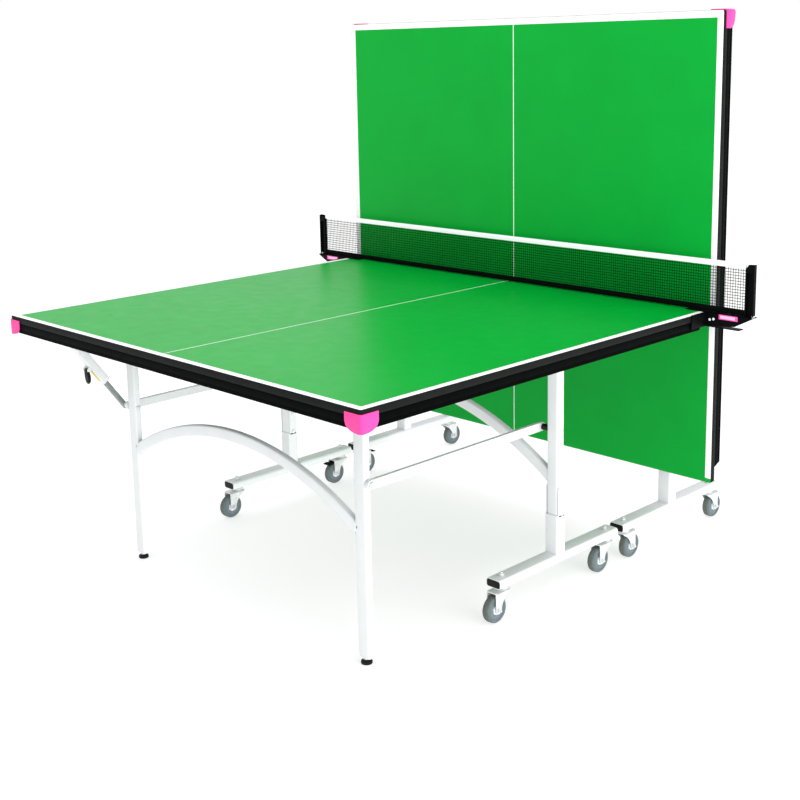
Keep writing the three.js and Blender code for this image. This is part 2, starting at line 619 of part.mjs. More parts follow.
// A wheel bar with the socket for its post, the socket bolts and the fixed stems of two casters.
function wheelBar() {
  const half = BAR_LENGTH / 2;
  const section = tubeSection(BAR_WIDTH, BAR_HEIGHT, BAR_CORNER, TUBE_WALL);
  const bar = extrudeY(section, -half, half).translate(0, 0, BAR_UNDERSIDE + BAR_HEIGHT / 2);
  const innerX = POST_WIDTH / 2 + SOCKET_CLEARANCE;
  const innerY = POST_DEPTH / 2 + SOCKET_CLEARANCE;
  const outerX = innerX + SOCKET_WALL;
  const outerY = innerY + SOCKET_WALL;
  const base = BAR_TOP - TUBE_WALL / 2;
  const shell = join(
    box(-outerX, outerX, -outerY, outerY, base, SOCKET_TOP - SOCKET_FRONT_DROP),
    box(-outerX, outerX, -innerY, innerY, base, SOCKET_TOP));
  const bore = box(-innerX, innerX, -innerY, innerY, BAR_TOP, SOCKET_TOP + CUT_MARGIN);
  const socket = cut(shell, bore);
  const boltEnds = [innerX + SOCKET_WALL / 2, outerX + BOLT_HEAD_THICKNESS];
  const bolts = SOCKET_BOLT_DROPS.flatMap((drop) => [-1, 1].map((turn) => rod(
    BOLT_HEAD_RADIUS, turn * boltEnds[0], turn * boltEnds[1], 0, SOCKET_TOP - drop)));
  const stems = [-1, 1].flatMap((turn) => {
    const y = turn * STEM_REACH;
    const raceTop = CROWN_HEIGHT + RACE_THICKNESS + RUNNING_GAP;
    return [
      disc(RACE_RADIUS, raceTop, BAR_UNDERSIDE + TUBE_WALL / 2, 0, y, RACE_FACETS),
      disc(STEM_RADIUS, BAR_UNDERSIDE, BAR_TOP + STEM_NUT_HEIGHT + STEM_PROUD, 0, y),
      disc(STEM_NUT_RADIUS, BAR_TOP - TUBE_WALL / 2, BAR_TOP + STEM_NUT_HEIGHT, 0, y, NUT_FACETS),
    ];
  });
  return join(bar, ...bolts, ...stems).add(socket);
}

// A caster fork, with its origin on the floor below its stem; the wheel trails towards -Y.
function fork(braked) {
  const inner = HUB_WIDTH / 2 + SIDE_PLAY;
  const outer = inner + FORK_PLATE;
  const crownBottom = CROWN_HEIGHT - CROWN_THICKNESS;
  const front = -CASTER_TRAIL - HUB_CHEEK_RADIUS;
  const crown = box(-outer, outer, front, FORK_BACK, crownBottom, CROWN_HEIGHT);
  const raceBottom = CROWN_HEIGHT - WELD_OVERLAP;
  const race = disc(RACE_RADIUS, raceBottom, CROWN_HEIGHT + RACE_THICKNESS, 0, 0, RACE_FACETS);
  const cheek = new THREE.Shape();
  cheek.moveTo(FORK_BACK, CROWN_HEIGHT);
  cheek.lineTo(front, CROWN_HEIGHT);
  cheek.lineTo(front, WHEEL_RADIUS);
  cheek.absarc(-CASTER_TRAIL, WHEEL_RADIUS, HUB_CHEEK_RADIUS, Math.PI, 2 * Math.PI);
  cheek.quadraticCurveTo(CHEEK_WAIST_Y, (WHEEL_RADIUS + crownBottom) / 2, FORK_BACK, crownBottom);
  const cheeks = [-1, 1].map((turn) => extrudeX(cheek, turn * inner, turn * outer, END_FACETS));
  const axleEnd = outer + PIN_HEAD_THICKNESS;
  const axle = rod(AXLE_RADIUS, -axleEnd, axleEnd, -CASTER_TRAIL, WHEEL_RADIUS);
  const nuts = [-1, 1].map((turn) => rod(
    AXLE_NUT_RADIUS, turn * outer, turn * axleEnd, -CASTER_TRAIL, WHEEL_RADIUS, NUT_FACETS));
  const pedalPin = braked ? [rod(PEDAL_PIN_RADIUS, -outer, outer, PEDAL_PIN_Y, PEDAL_PIN_HEIGHT)] : [];
  return join(crown, race, ...cheeks, axle, ...nuts, ...pedalPin);
}

// A wheel and its tyre, centred on its axle.
function wheel() {
  const hub = HUB_WIDTH / 2;
  const tyre = TYRE_WIDTH / 2;
  const web = tyre - WEB_RECESS;
  const half = [
    [HUB_CHEEK_RADIUS, hub], [HUB_CHEEK_RADIUS, web], [WHEEL_RADIUS * WEB_SHARE, web],
    [WHEEL_RADIUS * SHOULDER_SHARE, tyre], [WHEEL_RADIUS, tyre / 2],
  ];
  const bore = AXLE_RADIUS + RUNNING_GAP;
  const mirrored = half.map(([r, x]) => [r, -x]).reverse();
  const profile = [[bore, -hub], [bore, hub], ...half, ...mirrored, [bore, -hub]];
  return new THREE.LatheGeometry(profile.reverse().map(([r, x]) => new THREE.Vector2(r, x)), ROUND_FACETS)
    .rotateZ(QUARTER_TURN);
}

// The brake pedal, with its origin at its pin: a plate over the tyre with a wider tip.
function brakePedal() {
  const tipStart = -PEDAL_LENGTH * PEDAL_TIP_START;
  const band = (y0, y1, rise) => {
    const [z0, z1] = [y0 * PEDAL_SLOPE, y1 * PEDAL_SLOPE];
    return outline([[y0, z0], [y1, z1], [y1, z1 + rise], [y0, z0 + rise]]);
  };
  const plate = extrudeX(band(-PEDAL_LENGTH, 0, PEDAL_THICKNESS), -PEDAL_WIDTH / 2, PEDAL_WIDTH / 2);
  const tip = extrudeX(
    band(-PEDAL_LENGTH, tipStart, 2 * PEDAL_THICKNESS), -PEDAL_TIP_WIDTH / 2, PEDAL_TIP_WIDTH / 2);
  const knuckle = rod(PEDAL_KNUCKLE_RADIUS, -PEDAL_WIDTH / 2, PEDAL_WIDTH / 2, 0, 0);
  const bore = rod(PEDAL_PIN_RADIUS + RUNNING_GAP, -PEDAL_WIDTH, PEDAL_WIDTH, 0, 0);
  return cut(join(plate, tip, knuckle), bore);
}

function addCaster(trolley, name, x, y, braked) {
  const forkBody = addBody(trolley, name + "_fork", x, y, 0);
  addPart(forkBody, name + "_fork", fork(braked), "zinc");
  const wheelBody = addBody(forkBody, name + "_wheel", 0, -CASTER_TRAIL, WHEEL_RADIUS);
  addPart(wheelBody, name + "_wheel", wheel(), "tyre");
  if (braked) {
    const pedal = addBody(forkBody, name + "_brake_pedal", 0, PEDAL_PIN_Y, PEDAL_PIN_HEIGHT);
    addPart(pedal, name + "_brake_pedal", brakePedal(), "black");
  }
}

// ---- Net set, with the origin at the board pivot axis ----

const NET_Y = PIVOT_INSET - NET_SETBACK;
const NET_TOP = PIVOT_DROP + NET_TOP_HEIGHT;
const NET_FOOT = PIVOT_DROP + CONTACT_GAP + BRACKET_BAR_THICKNESS;
const POST_INNER_FACE = NET_SUPPORT_REACH - NET_POST_WIDTH;

function netSupport(side) {
  const mount = TABLE_WIDTH / 2 + CONTACT_GAP;
  const [front, back] = [NET_Y - BRACKET_BAR_DEPTH / 2, NET_Y + BRACKET_BAR_DEPTH / 2];
  const barBottom = PIVOT_DROP + CONTACT_GAP;
  const barStart = side * (TABLE_WIDTH / 2 - BRACKET_BAR_OVERLAP);
  const bar = box(barStart, side * NET_SUPPORT_REACH, front, back, barBottom, NET_FOOT);
  const low = PIVOT_DROP - BRACKET_GUSSET_DROP;
  const plateStart = back - BRACKET_PLATE_LENGTH;
  const mountPlate = box(side * mount, side * (mount + BRACKET_PLATE), plateStart, back, low, NET_FOOT);
  const gusset = outline([
    [side * mount, NET_FOOT], [side * (NET_SUPPORT_REACH + BRACKET_PLATE), NET_FOOT],
    [side * (NET_SUPPORT_REACH - 2 * NET_POST_WIDTH), low + BRACKET_GUSSET_RISE], [side * mount, low],
  ]);
  const gussetPlate = extrudeY(gusset, front, front + BRACKET_PLATE);
  const wingTip = side * (TABLE_WIDTH / 2 + BRACKET_WING_OVERHANG);
  const wing = outline([
    [side * mount, low + BRACKET_PLATE], [wingTip, low + BRACKET_PLATE], [wingTip, low], [side * mount, low],
  ]);
  const wingPlate = extrudeY(wing, front, back);
  const post = box(
    side * POST_INNER_FACE, side * NET_SUPPORT_REACH, NET_Y - NET_POST_DEPTH / 2, NET_Y + NET_POST_DEPTH / 2,
    NET_FOOT - WELD_OVERLAP, NET_TOP - NET_POST_SHORTFALL);
  const boltEnds = [front - BRACKET_BOLT_PROUD, front + WELD_OVERLAP];
  const bolts = BRACKET_BOLT_PLACES.map(([along, up]) => peg(
    BRACKET_BOLT_RADIUS, ...boltEnds, side * (mount + along), low + up));
  return join(bar, mountPlate, gussetPlate, wingPlate, post, ...bolts);
}

function addNetSet(top) {
  const reach = POST_INNER_FACE - CONTACT_GAP;
  const tapeBottom = NET_TOP - NET_TAPE_HEIGHT;
  const mesh = box(
    -reach, reach, NET_Y - NET_THICKNESS / 2, NET_Y + NET_THICKNESS / 2, NET_FOOT + CONTACT_GAP,
    tapeBottom - CONTACT_GAP);
  const tape = box(
    -reach, reach, NET_Y - NET_TAPE_THICKNESS / 2, NET_Y + NET_TAPE_THICKNESS / 2, tapeBottom, NET_TOP);
  addPart(top, "net_mesh", mesh, "net");
  addPart(top, "net_tape", tape, "tape");
  for (const [side, word] of [[-1, "left"], [1, "right"]]) {
    addPart(top, "net_support_" + word, netSupport(side), "black");
  }
}

// ---- One half of the table, with the origin on the floor below its net edge ----

const SIDES = [[-1, "left"], [1, "right"]];

function buildHalf(half, fold, brakedSide) {
  const group = new THREE.Group();
  const trolley = addBody(group, half + "_trolley", 0, -PIVOT_INSET, 0);
  addPart(trolley, half + "_upright_frame", uprightFrame(), "frame");
  for (const [side, word] of SIDES) {
    const bar = addPart(trolley, half + "_wheel_bar_" + word, wheelBar(), "frame");
    bar.position.set(side * POST_X, 0, 0);
    for (const [end, place] of [[-1, "outer"], [1, "inner"]]) {
      const braked = end > 0 && side === brakedSide;
      addCaster(trolley, half + "_caster_" + word + "_" + place, side * POST_X, end * STEM_REACH, braked);
    }
    const linkBody = addBody(trolley, half + "_link_" + word, side * LINK_X, 0, LINK_PIVOT_HEIGHT);
    linkBody.rotation.x = -fold;
    addPart(linkBody, half + "_link_" + word, link(), "frame");
  }

  const top = addBody(trolley, half + "_top", 0, 0, PIVOT_HEIGHT);
  top.rotation.x = -fold;
  addPart(top, half + "_board", board(), "board");
  addPart(top, half + "_end_rail", endRail(), "rail");
  for (const [side, word] of SIDES) {
    addPart(top, half + "_side_rail_" + word, sideRail(side), "rail");
    addPart(top, half + "_corner_guard_" + word, cornerGuard(side), "guard");
    addPart(top, half + "_bearer_" + word, bearer(side), "frame");
  }

  const legs = addBody(top, half + "_legs", 0, -LINK_LENGTH, 0);
  legs.rotation.x = fold;
  addPart(legs, half + "_leg_frame", legFrame(), "frame");
  for (const [side, word] of SIDES) {
    const footBody = addBody(legs, half + "_foot_" + word, side * LEG_X, 0, -PIVOT_HEIGHT);
    addPart(footBody, half + "_foot_" + word, foot(), "black");
  }

  const strut = strutAt(fold);
  const anchorY = -LINK_LENGTH - STRUT_ANCHOR_Y;
  const outer = addBody(top, half + "_strut_outer", -STRUT_X, anchorY, -STRUT_ANCHOR_DROP);
  outer.rotation.x = strut.tilt + fold;
  addPart(outer, half + "_strut_outer", strutOuter(), "frame");
  const leverY = -STRUT_OUTER_DEPTH / 2 - LEVER_PIN_DROP;
  const lever = addBody(outer, half + "_strut_lever", 0, leverY, -LEVER_DISTANCE);
  lever.rotation.x = -THREE.MathUtils.degToRad(LEVER_OPENING);
  addPart(lever, half + "_strut_lever", strutLever(), "black");
  const inner = addBody(legs, half + "_strut_inner", -STRUT_X, 0, LINK_PIVOT_HEIGHT - PIVOT_HEIGHT);
  inner.rotation.x = strut.tilt;
  addPart(inner, half + "_strut_inner", strutInner(), "strut");
  return { group, top };
}

// ---- The table ----

const table = new THREE.Group();
const near = buildHalf("near", 0, -1);
addNetSet(near.top);
table.add(near.group);

const far = buildHalf("far", QUARTER_TURN, 1);
far.group.rotation.z = Math.PI;
far.group.position.y = FAR_SURFACE_Y + PIVOT_DROP - PIVOT_INSET;
table.add(far.group);

// The origin is on the floor, at the middle of the table's plan.
const bounds = new THREE.Box3().setFromObject(table);
table.position.y = -(bounds.min.y + bounds.max.y) / 2;

export default table;
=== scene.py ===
"""Looks of the rollaway table tennis table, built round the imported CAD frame."""

import json
import math
import random

import bmesh
import bpy
from mathutils import Matrix, Vector


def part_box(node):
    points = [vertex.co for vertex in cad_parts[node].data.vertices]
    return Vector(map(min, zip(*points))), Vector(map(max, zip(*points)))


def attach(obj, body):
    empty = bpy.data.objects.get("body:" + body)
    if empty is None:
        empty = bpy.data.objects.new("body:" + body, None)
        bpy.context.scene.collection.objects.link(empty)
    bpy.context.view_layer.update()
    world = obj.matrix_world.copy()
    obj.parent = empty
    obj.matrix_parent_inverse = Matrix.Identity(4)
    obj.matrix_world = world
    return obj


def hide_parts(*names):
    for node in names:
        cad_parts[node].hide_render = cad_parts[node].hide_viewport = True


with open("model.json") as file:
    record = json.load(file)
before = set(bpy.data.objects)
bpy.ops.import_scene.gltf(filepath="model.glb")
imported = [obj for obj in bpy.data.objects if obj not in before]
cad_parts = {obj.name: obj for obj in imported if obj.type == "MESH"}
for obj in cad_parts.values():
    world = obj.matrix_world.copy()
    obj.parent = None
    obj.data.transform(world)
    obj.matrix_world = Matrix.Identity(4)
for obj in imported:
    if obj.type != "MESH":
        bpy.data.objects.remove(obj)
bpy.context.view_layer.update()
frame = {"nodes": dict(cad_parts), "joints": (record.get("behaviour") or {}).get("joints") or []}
joint_of = {joint["child"]: joint for joint in frame["joints"]}
random.seed(7)

MM = 0.001
HALF_PI = math.pi / 2

# Camera, in metres and radians
CAMERA_PLACE = (2.6789, -2.6147, 1.5061)
CAMERA_AZIMUTH = 0.78939
CAMERA_ELEVATION = 0.19277
CAMERA_ROLL = -0.018315
CAMERA_LENS = 56.94
CAMERA_SHIFT = (-0.01256, -0.12723)

# Stage, in metres
FLOOR_REACH = 40
FLOOR_DROP = 0.0005
FLOOR_GREY = 0.55
FLOOR_GLOW = 0.6

# ---------------------------------------------------------------- sizes, in millimetres


def span(node, axis, origin=0.0):
    """Where a CAD node starts and ends along an axis, from an origin on that axis."""
    return tuple(round(corner[axis] / MM - origin, 1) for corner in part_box(node))


def joint_place(body, axis, origin=0.0):
    """Where the joint of a body lies along an axis, from an origin on that axis."""
    return round(joint_of[body]["pos_m"][axis] / MM - origin, 1)


# Places from the frame. The near half's pivot is the origin of the board and, in Y, of the trolley.
PIVOT_Y = joint_place("near_top", 1)
PIVOT_Z = joint_place("near_top", 2)
WIDTH = 2 * span("near_board", 0)[1]
END_Y, NET_EDGE = span("near_board", 1, PIVOT_Y)
BOTTOM, TOP = span("near_board", 2, PIVOT_Z)
RAIL_LOW, RAIL_TOP = span("near_end_rail", 2, PIVOT_Z)
LEG_X = sum(span("near_foot_right", 0)) / 2
POST_X = sum(span("near_wheel_bar_right", 0)) / 2
LEG_BOTTOM = span("near_leg_frame", 2)[0]
POST_BOTTOM, POST_TOP = span("near_upright_frame", 2)
BAR_END = span("near_wheel_bar_right", 1, PIVOT_Y)[1]
SOCKET_TOP = span("near_wheel_bar_right", 2)[1]
STEM_Y = joint_place("near_caster_right_inner_fork", 1, PIVOT_Y)
LINK_Z = joint_place("near_link_right", 2)
LINK_LENGTH = -joint_place("near_legs", 1, PIVOT_Y)
AXLE_HEIGHT = joint_place("near_caster_right_inner_wheel", 2)
NET_Y = round(sum(span("net_mesh", 1, PIVOT_Y)) / 2, 1)
NET_LOW = span("net_mesh", 2, PIVOT_Z)[0]
NET_TOP = span("net_tape", 2, PIVOT_Z)[1]

# Board
BOARD_CORNER = 5
BOARD_RIM = 0.8
EDGE_LINE, CENTRE_LINE, LINE_STOP = 20, 3, 13

# Rails and guards
CONTACT_GAP = 0.3
RAIL_SETBACK, RAIL_WALL, RAIL_FLANGE, RAIL_CORNER = 1, 2, 22, 2.6
RAIL_NET_SETBACK, RAIL_END_CUT = 45, 12
GUARD_WING, GUARD_HEIGHT, GUARD_TIP_HEIGHT = 50, 44, 22
GUARD_TOP = RAIL_LOW + 38
GUARD_SCREW_ALONG, GUARD_SCREW_Z = 26, 12

# Tubes: width, depth and corner, with the bar's corner in six steps
LEG_TUBE = (40, 20, 5)
POST_TUBE = (38, 30, 6)
BAR_TUBE = (50, 25, 8, 6)
ARCH_DEPTH, ARCH_BAND, ARCH_CORNER = 20, 32, 5
LEG_ARCH_TOP, LEG_ARCH_RADIUS = 504, 941
TROLLEY_ARCH_TOP, TROLLEY_ARCH_RADIUS = 537, 980

# Pins and bolts
PIN_RADIUS, PIN_HEAD_RADIUS = 5, 9
PIN_HEAD_X = 521.8
STRUT_SIDE_PIN_X, PLAIN_SIDE_PIN_X = 564.8, 536.2
BOLT_RADIUS, BOLT_HEIGHT = 7, 4
WASHER = 1.2

# Wheel bars and sockets
BAR_MIDDLE, BAR_TOP = 109.5, 122
SOCKET_WALL = 3
SLEEVE_TOP = SOCKET_TOP - 83
SOCKET_BOLTS = (SOCKET_TOP - 78, SOCKET_TOP - 16)

# Casters
TRAIL = 30
CROWN_TOP = 87
FORK_INNER, FORK_OUTER = 14.7, 17.2
PEDAL_SLOPE = 0.12
PEDAL_PIN = (-12, 80)

# Strut
STRUT_OUTER_LENGTH, STRUT_HEAD = 178, 12
LEVER_DISTANCE = 108
LEVER_OPENING = math.radians(34)
STRUT_INNER_LENGTH, STRUT_INNER_HEAD, STRUT_INNER_OFFSET = 250, 10, -2.8

# Net and its supports
NET_REACH = 883
NET_PITCH, CORD_RADIUS = 8, 0.85
TAPE_HEIGHT, BAND_HEIGHT, FOLD_ALLOWANCE = 15.5, 16.5, 3
BRACKET_HALF_DEPTH, BRACKET_PLATE_LENGTH = 12, 96

# ---------------------------------------------------------------- camera, light and stage


def look(position, azimuth, elevation, roll):
    """A camera's matrix: it looks at azimuth and elevation from the object, turned by roll."""
    level_share = math.cos(elevation)
    back = Vector((math.sin(azimuth) * level_share, -math.cos(azimuth) * level_share, math.sin(elevation)))
    level = (-back).cross(Vector((0, 0, 1))).normalized()
    lift = level.cross(-back)
    right = math.cos(roll) * level + math.sin(roll) * lift
    up = math.cos(roll) * lift - math.sin(roll) * level
    matrix = Matrix((right, up, back)).transposed().to_4x4()
    matrix.translation = position
    return matrix


def make_camera():
    data = bpy.data.cameras.new("Camera")
    data.sensor_width = 36
    data.lens = CAMERA_LENS
    data.shift_x, data.shift_y = CAMERA_SHIFT
    data.clip_end = 100
    camera = bpy.data.objects.new("Camera", data)
    camera.matrix_world = look(CAMERA_PLACE, CAMERA_AZIMUTH, CAMERA_ELEVATION, CAMERA_ROLL)
    bpy.context.scene.collection.objects.link(camera)
    bpy.context.scene.camera = camera


def area_light(name, position, target, size, energy):
    data = bpy.data.lights.new(name, "AREA")
    data.shape = "RECTANGLE"
    data.size, data.size_y = size
    data.energy = energy
    lamp = bpy.data.objects.new(name, data)
    lamp.location = position
    lamp.visible_glossy = False
    lamp.rotation_euler = (Vector(target) - Vector(position)).to_track_quat("-Z", "Y").to_euler()
    bpy.context.scene.collection.objects.link(lamp)


def make_stage():
    world = bpy.data.worlds.new("Studio")
    world.use_nodes = True
    background = world.node_tree.nodes["Background"]
    background.inputs["Color"].default_value = (1, 1, 1, 1)
    background.inputs["Strength"].default_value = 1.0
    bpy.context.scene.world = world
    bpy.context.scene.view_settings.view_transform = "Standard"
    area_light("Key", (6.0, -0.6, 1.3), (0, 0, 0.5), (6.0, 2.2), 300)
    area_light("Top", (0.3, -0.6, 4.2), (0, -0.3, 0.7), (3.0, 3.0), 50)

    mesh = bpy.data.meshes.new("Floor")
    corners = [(x * FLOOR_REACH, y * FLOOR_REACH, 0) for x, y in ((-1, -1), (1, -1), (1, 1), (-1, 1))]
    mesh.from_pydata(corners, [], [(0, 1, 2, 3)])
    floor = bpy.data.objects.new("Floor", mesh)
    floor.location.z = -FLOOR_DROP
    bpy.context.scene.collection.objects.link(floor)
    mesh.materials.append(finish("Floor", [FLOOR_GREY] * 3, 0.9, grain=(3, 0.004), bump=(40, 0.00005),
                                 wear=0.02, specular=0.1, glow=FLOOR_GLOW))


# ---------------------------------------------------------------- materials

# The part of a noise's range that the colours and roughness are spread over
NOISE_LOW, NOISE_HIGH = 0.3, 0.7


def finish(name, colour, roughness, metallic=0.0, grain=(60, 0.06), bump=(900, 0.0003), wear=0.06,
           stretch=None, sheen=0.0, specular=0.5, glow=0.0):
    """A procedural material.

    grain is (scale per metre, share of colour variation) and bump is (scale per metre, height in metres).
    wear is how far the roughness varies, and stretch draws the noise out along an axis.
    """
    material = bpy.data.materials.new(name)
    material.use_nodes = True
    nodes, links = material.node_tree.nodes, material.node_tree.links
    shader = nodes["Principled BSDF"]
    where = nodes.new("ShaderNodeTexCoord")
    vector = where.outputs["Object"]
    if stretch:
        mapping = nodes.new("ShaderNodeMapping")
        mapping.inputs["Scale"].default_value = stretch
        links.new(vector, mapping.inputs["Vector"])
        vector = mapping.outputs["Vector"]

    def noise(scale, detail):
        node = nodes.new("ShaderNodeTexNoise")
        node.inputs["Scale"].default_value = scale
        node.inputs["Detail"].default_value = detail
        links.new(vector, node.inputs["Vector"])
        return node.outputs["Fac"]

    broad = noise(grain[0], 4)
    ramp = nodes.new("ShaderNodeValToRGB")
    dark = [c * (1 - grain[1]) for c in colour]
    light = [min(1, c * (1 + grain[1])) for c in colour]
    ramp.color_ramp.elements[0].position = NOISE_LOW
    ramp.color_ramp.elements[0].color = (*dark, 1)
    ramp.color_ramp.elements[1].position = NOISE_HIGH
    ramp.color_ramp.elements[1].color = (*light, 1)
    links.new(broad, ramp.inputs["Fac"])
    links.new(ramp.outputs["Color"], shader.inputs["Base Color"])

    spread = nodes.new("ShaderNodeMapRange")
    spread.inputs["From Min"].default_value = NOISE_LOW
    spread.inputs["From Max"].default_value = NOISE_HIGH
    spread.inputs["To Min"].default_value = roughness - wear
    spread.inputs["To Max"].default_value = roughness + wear
    links.new(noise(grain[0] * 3, 3), spread.inputs["Value"])
    links.new(spread.outputs["Result"], shader.inputs["Roughness"])

    relief = nodes.new("ShaderNodeBump")
    relief.inputs["Strength"].default_value = 1.0
    relief.inputs["Distance"].default_value = bump[1]
    links.new(noise(bump[0], 2), relief.inputs["Height"])
    links.new(relief.outputs["Normal"], shader.inputs["Normal"])
    shader.inputs["Metallic"].default_value = metallic
    shader.inputs["Sheen Weight"].default_value = sheen
    shader.inputs["Specular IOR Level"].default_value = specular
    shader.inputs["Emission Color"].default_value = (1, 1, 1, 1)
    shader.inputs["Emission Strength"].default_value = glow
    return material


def srgb(*values):
    """Linear colour of an 8-bit sRGB one."""
    shares = [v / 255 for v in values]
    return tuple(v / 12.92 if v <= 0.04045 else ((v + 0.055) / 1.055) ** 2.4 for v in shares)


MATERIALS = {
    "green": finish("BoardGreen", srgb(0, 160, 52), 0.34, grain=(7, 0.035), bump=(1400, 0.0001), wear=0.03,
                    specular=0.1),
    "line": finish("LineWhite", srgb(248, 248, 250), 0.45, grain=(40, 0.015),
                   bump=(1400, 0.0001), specular=0.2),
    "edge": finish("BoardEdge", srgb(20, 23, 21), 0.5, grain=(30, 0.15), bump=(500, 0.0001), specular=0.06),
    "under": finish("BoardUnderside", srgb(40, 50, 43), 0.75, grain=(25, 0.2),
                    bump=(300, 0.0004), specular=0.2),
    "rail": finish("RailBlack", srgb(2, 3, 3), 0.5, grain=(25, 0.2), bump=(1100, 0.0001), specular=0.02),
    "guard": finish("GuardPink", srgb(250, 64, 150), 0.4, grain=(30, 0.05),
                    bump=(700, 0.00015), specular=0.3),
    "screw": finish("ScrewPink", srgb(196, 52, 130), 0.35, grain=(90, 0.08), bump=(900, 0.0001)),
    "frame": finish("FrameWhite", srgb(224, 228, 228), 0.4, grain=(18, 0.02),
                    bump=(1300, 0.00015), specular=0.4),
    "zinc": finish("Zinc", srgb(222, 225, 224), 0.36, metallic=0.45, grain=(70, 0.12),
                   bump=(800, 0.0002), wear=0.1),
    "steel": finish("StrutSteel", srgb(142, 150, 148), 0.4, metallic=0.55, grain=(60, 0.14),
                    bump=(600, 0.0003), stretch=(1, 1, 0.08)),
    "tyre": finish("TyreGrey", srgb(96, 108, 110), 0.65, grain=(90, 0.1), bump=(900, 0.0004), specular=0.3),
    "tread": finish("TyreTread", srgb(98, 102, 90), 0.8, grain=(120, 0.16),
                    bump=(700, 0.0006), specular=0.2),
    "core": finish("WheelCore", srgb(104, 116, 122), 0.5, grain=(60, 0.08), bump=(900, 0.0002)),
    "hub": finish("HubPale", srgb(226, 229, 228), 0.45, grain=(60, 0.05), bump=(900, 0.0002)),
    "black": finish("BlackPlastic", srgb(14, 15, 15), 0.5, grain=(60, 0.2),
                    bump=(1200, 0.0003), specular=0.2),
    "bracket": finish("BracketBlack", srgb(6, 7, 8), 0.5, grain=(60, 0.25),
                      bump=(1000, 0.0002), specular=0.06),
    "cord": finish("NetCord", srgb(6, 22, 12), 0.9, grain=(400, 0.3), bump=(2500, 0.0003), specular=0.05),
    "tape": finish("TapeWhite", srgb(248, 246, 252), 0.85, grain=(300, 0.03),
                   bump=(1800, 0.0004), sheen=0.1, stretch=(1, 1, 3)),
    "band": finish("BandBlack", srgb(8, 12, 10), 0.9, grain=(300, 0.3), bump=(1800, 0.0005), specular=0.05),
    "panel": finish("LabelPanel", srgb(250, 190, 224), 0.4, grain=(200, 0.06),
                    bump=(900, 0.0001), specular=0.3),
    "label": finish("LabelPink", srgb(240, 90, 170), 0.4, grain=(200, 0.06),
                    bump=(900, 0.0001), specular=0.3),
    "yellow": finish("YellowStrip", srgb(245, 196, 30), 0.5, grain=(150, 0.12), bump=(900, 0.0002)),
}

# ---------------------------------------------------------------- shapes, in millimetres, as (points, faces)


def loft(rings, closed=False):
    """Joins rings with the same number of points; ends are capped unless the last joins the first."""
    count = len(rings[0])
    points = [p for ring in rings for p in ring]
    faces = []
    pairs = len(rings) if closed else len(rings) - 1
    for i in range(pairs):
        a, b = i * count, ((i + 1) % len(rings)) * count
        faces += [(a + j, a + (j + 1) % count, b + (j + 1) % count, b + j) for j in range(count)]
    if not closed:
        faces += [tuple(reversed(range(count))), tuple(range(len(points) - count, len(points)))]
    return points, faces


def arc(cx, cy, radius, start, end, steps):
    return [(cx + radius * math.cos(start + (end - start) * i / steps),
             cy + radius * math.sin(start + (end - start) * i / steps)) for i in range(steps + 1)]


def rounded(width, height, radius, steps=4):
    """A rounded rectangle's outline about the origin."""
    u, v = width / 2 - radius, height / 2 - radius
    corners = [(u, v, 0), (-u, v, HALF_PI), (-u, -v, 2 * HALF_PI), (u, -v, 3 * HALF_PI)]
    return [p for x, y, a in corners for p in arc(x, y, radius, a, a + HALF_PI, steps)]


def rod(section, x0, x1, y=0, z=0):
    """A section in Y and Z, along X."""
    return loft([[(x, y + u, z + v) for u, v in section] for x in (x0, x1)])


def beam(section, y0, y1, x=0, z=0):
    """A section in X and Z, along Y."""
    return loft([[(x + u, y, z + v) for u, v in section] for y in (y0, y1)])


def column(section, z0, z1, x=0, y=0):
    """A section in X and Y, along Z."""
    return loft([[(x + u, y + v, z) for u, v in section] for z in (z0, z1)])


def ring(radius, count):
    return [(radius * math.cos(2 * math.pi * i / count), radius * math.sin(2 * math.pi * i / count))
            for i in range(count)]


def turned(profile, axis="Z", count=28, at=(0, 0, 0), closed=False, sign=1):
    """A lathe shape: profile is (radius, height) pairs along the axis."""
    order = {"X": lambda u, v, h: (sign * h, u, v), "Y": lambda u, v, h: (u, sign * h, v),
             "Z": lambda u, v, h: (u, v, sign * h)}[axis]
    rings = [[tuple(a + b for a, b in zip(at, order(u, v, h))) for u, v in ring(max(r, 0.05), count)]
             for r, h in profile]
    return loft(rings, closed)


def dome(radius, height):
    """A bolt head's profile, from its seat."""
    shares = ((1, 0), (1, 0.35), (0.92, 0.62), (0.72, 0.85), (0.4, 0.97), (0, 1))
    return [(radius * out, height * up) for out, up in shares]


def pin(radius, length, axis, at, sign=1, count=24):
    return turned([(radius, 0), (radius, length)], axis, count, at, sign=sign)


def nut(radius, height, axis, at, sign=1):
    """A washer with a hexagon nut and the end of its thread."""
    washer = pin(radius * 1.25, WASHER, axis, at, sign)
    profile = [(radius * 0.94, WASHER), (radius, WASHER + 0.7), (radius, height - 0.8), (radius * 0.9, height)]
    body = turned(profile, axis, 6, at, sign=sign)
    thread = turned([(radius * 0.5, height), (radius * 0.5, height + 3), (radius * 0.38, height + 4)],
                    axis, 14, at, sign=sign)
    return [washer, body, thread]


def arch(top, radius, reach, steps=56):
    """A rounded tube bent to an arch in X and Z; top is its upper edge's height at the middle."""
    middle = radius - ARCH_BAND / 2
    end = math.asin(reach / middle)
    section = rounded(ARCH_DEPTH, ARCH_BAND, ARCH_CORNER)
    rings = []
    for i in range(steps + 1):
        a = -end + 2 * end * i / steps
        rings.append([((middle + v) * math.sin(a), u, top - radius + (middle + v) * math.cos(a))
                      for u, v in section])
    return loft(rings)


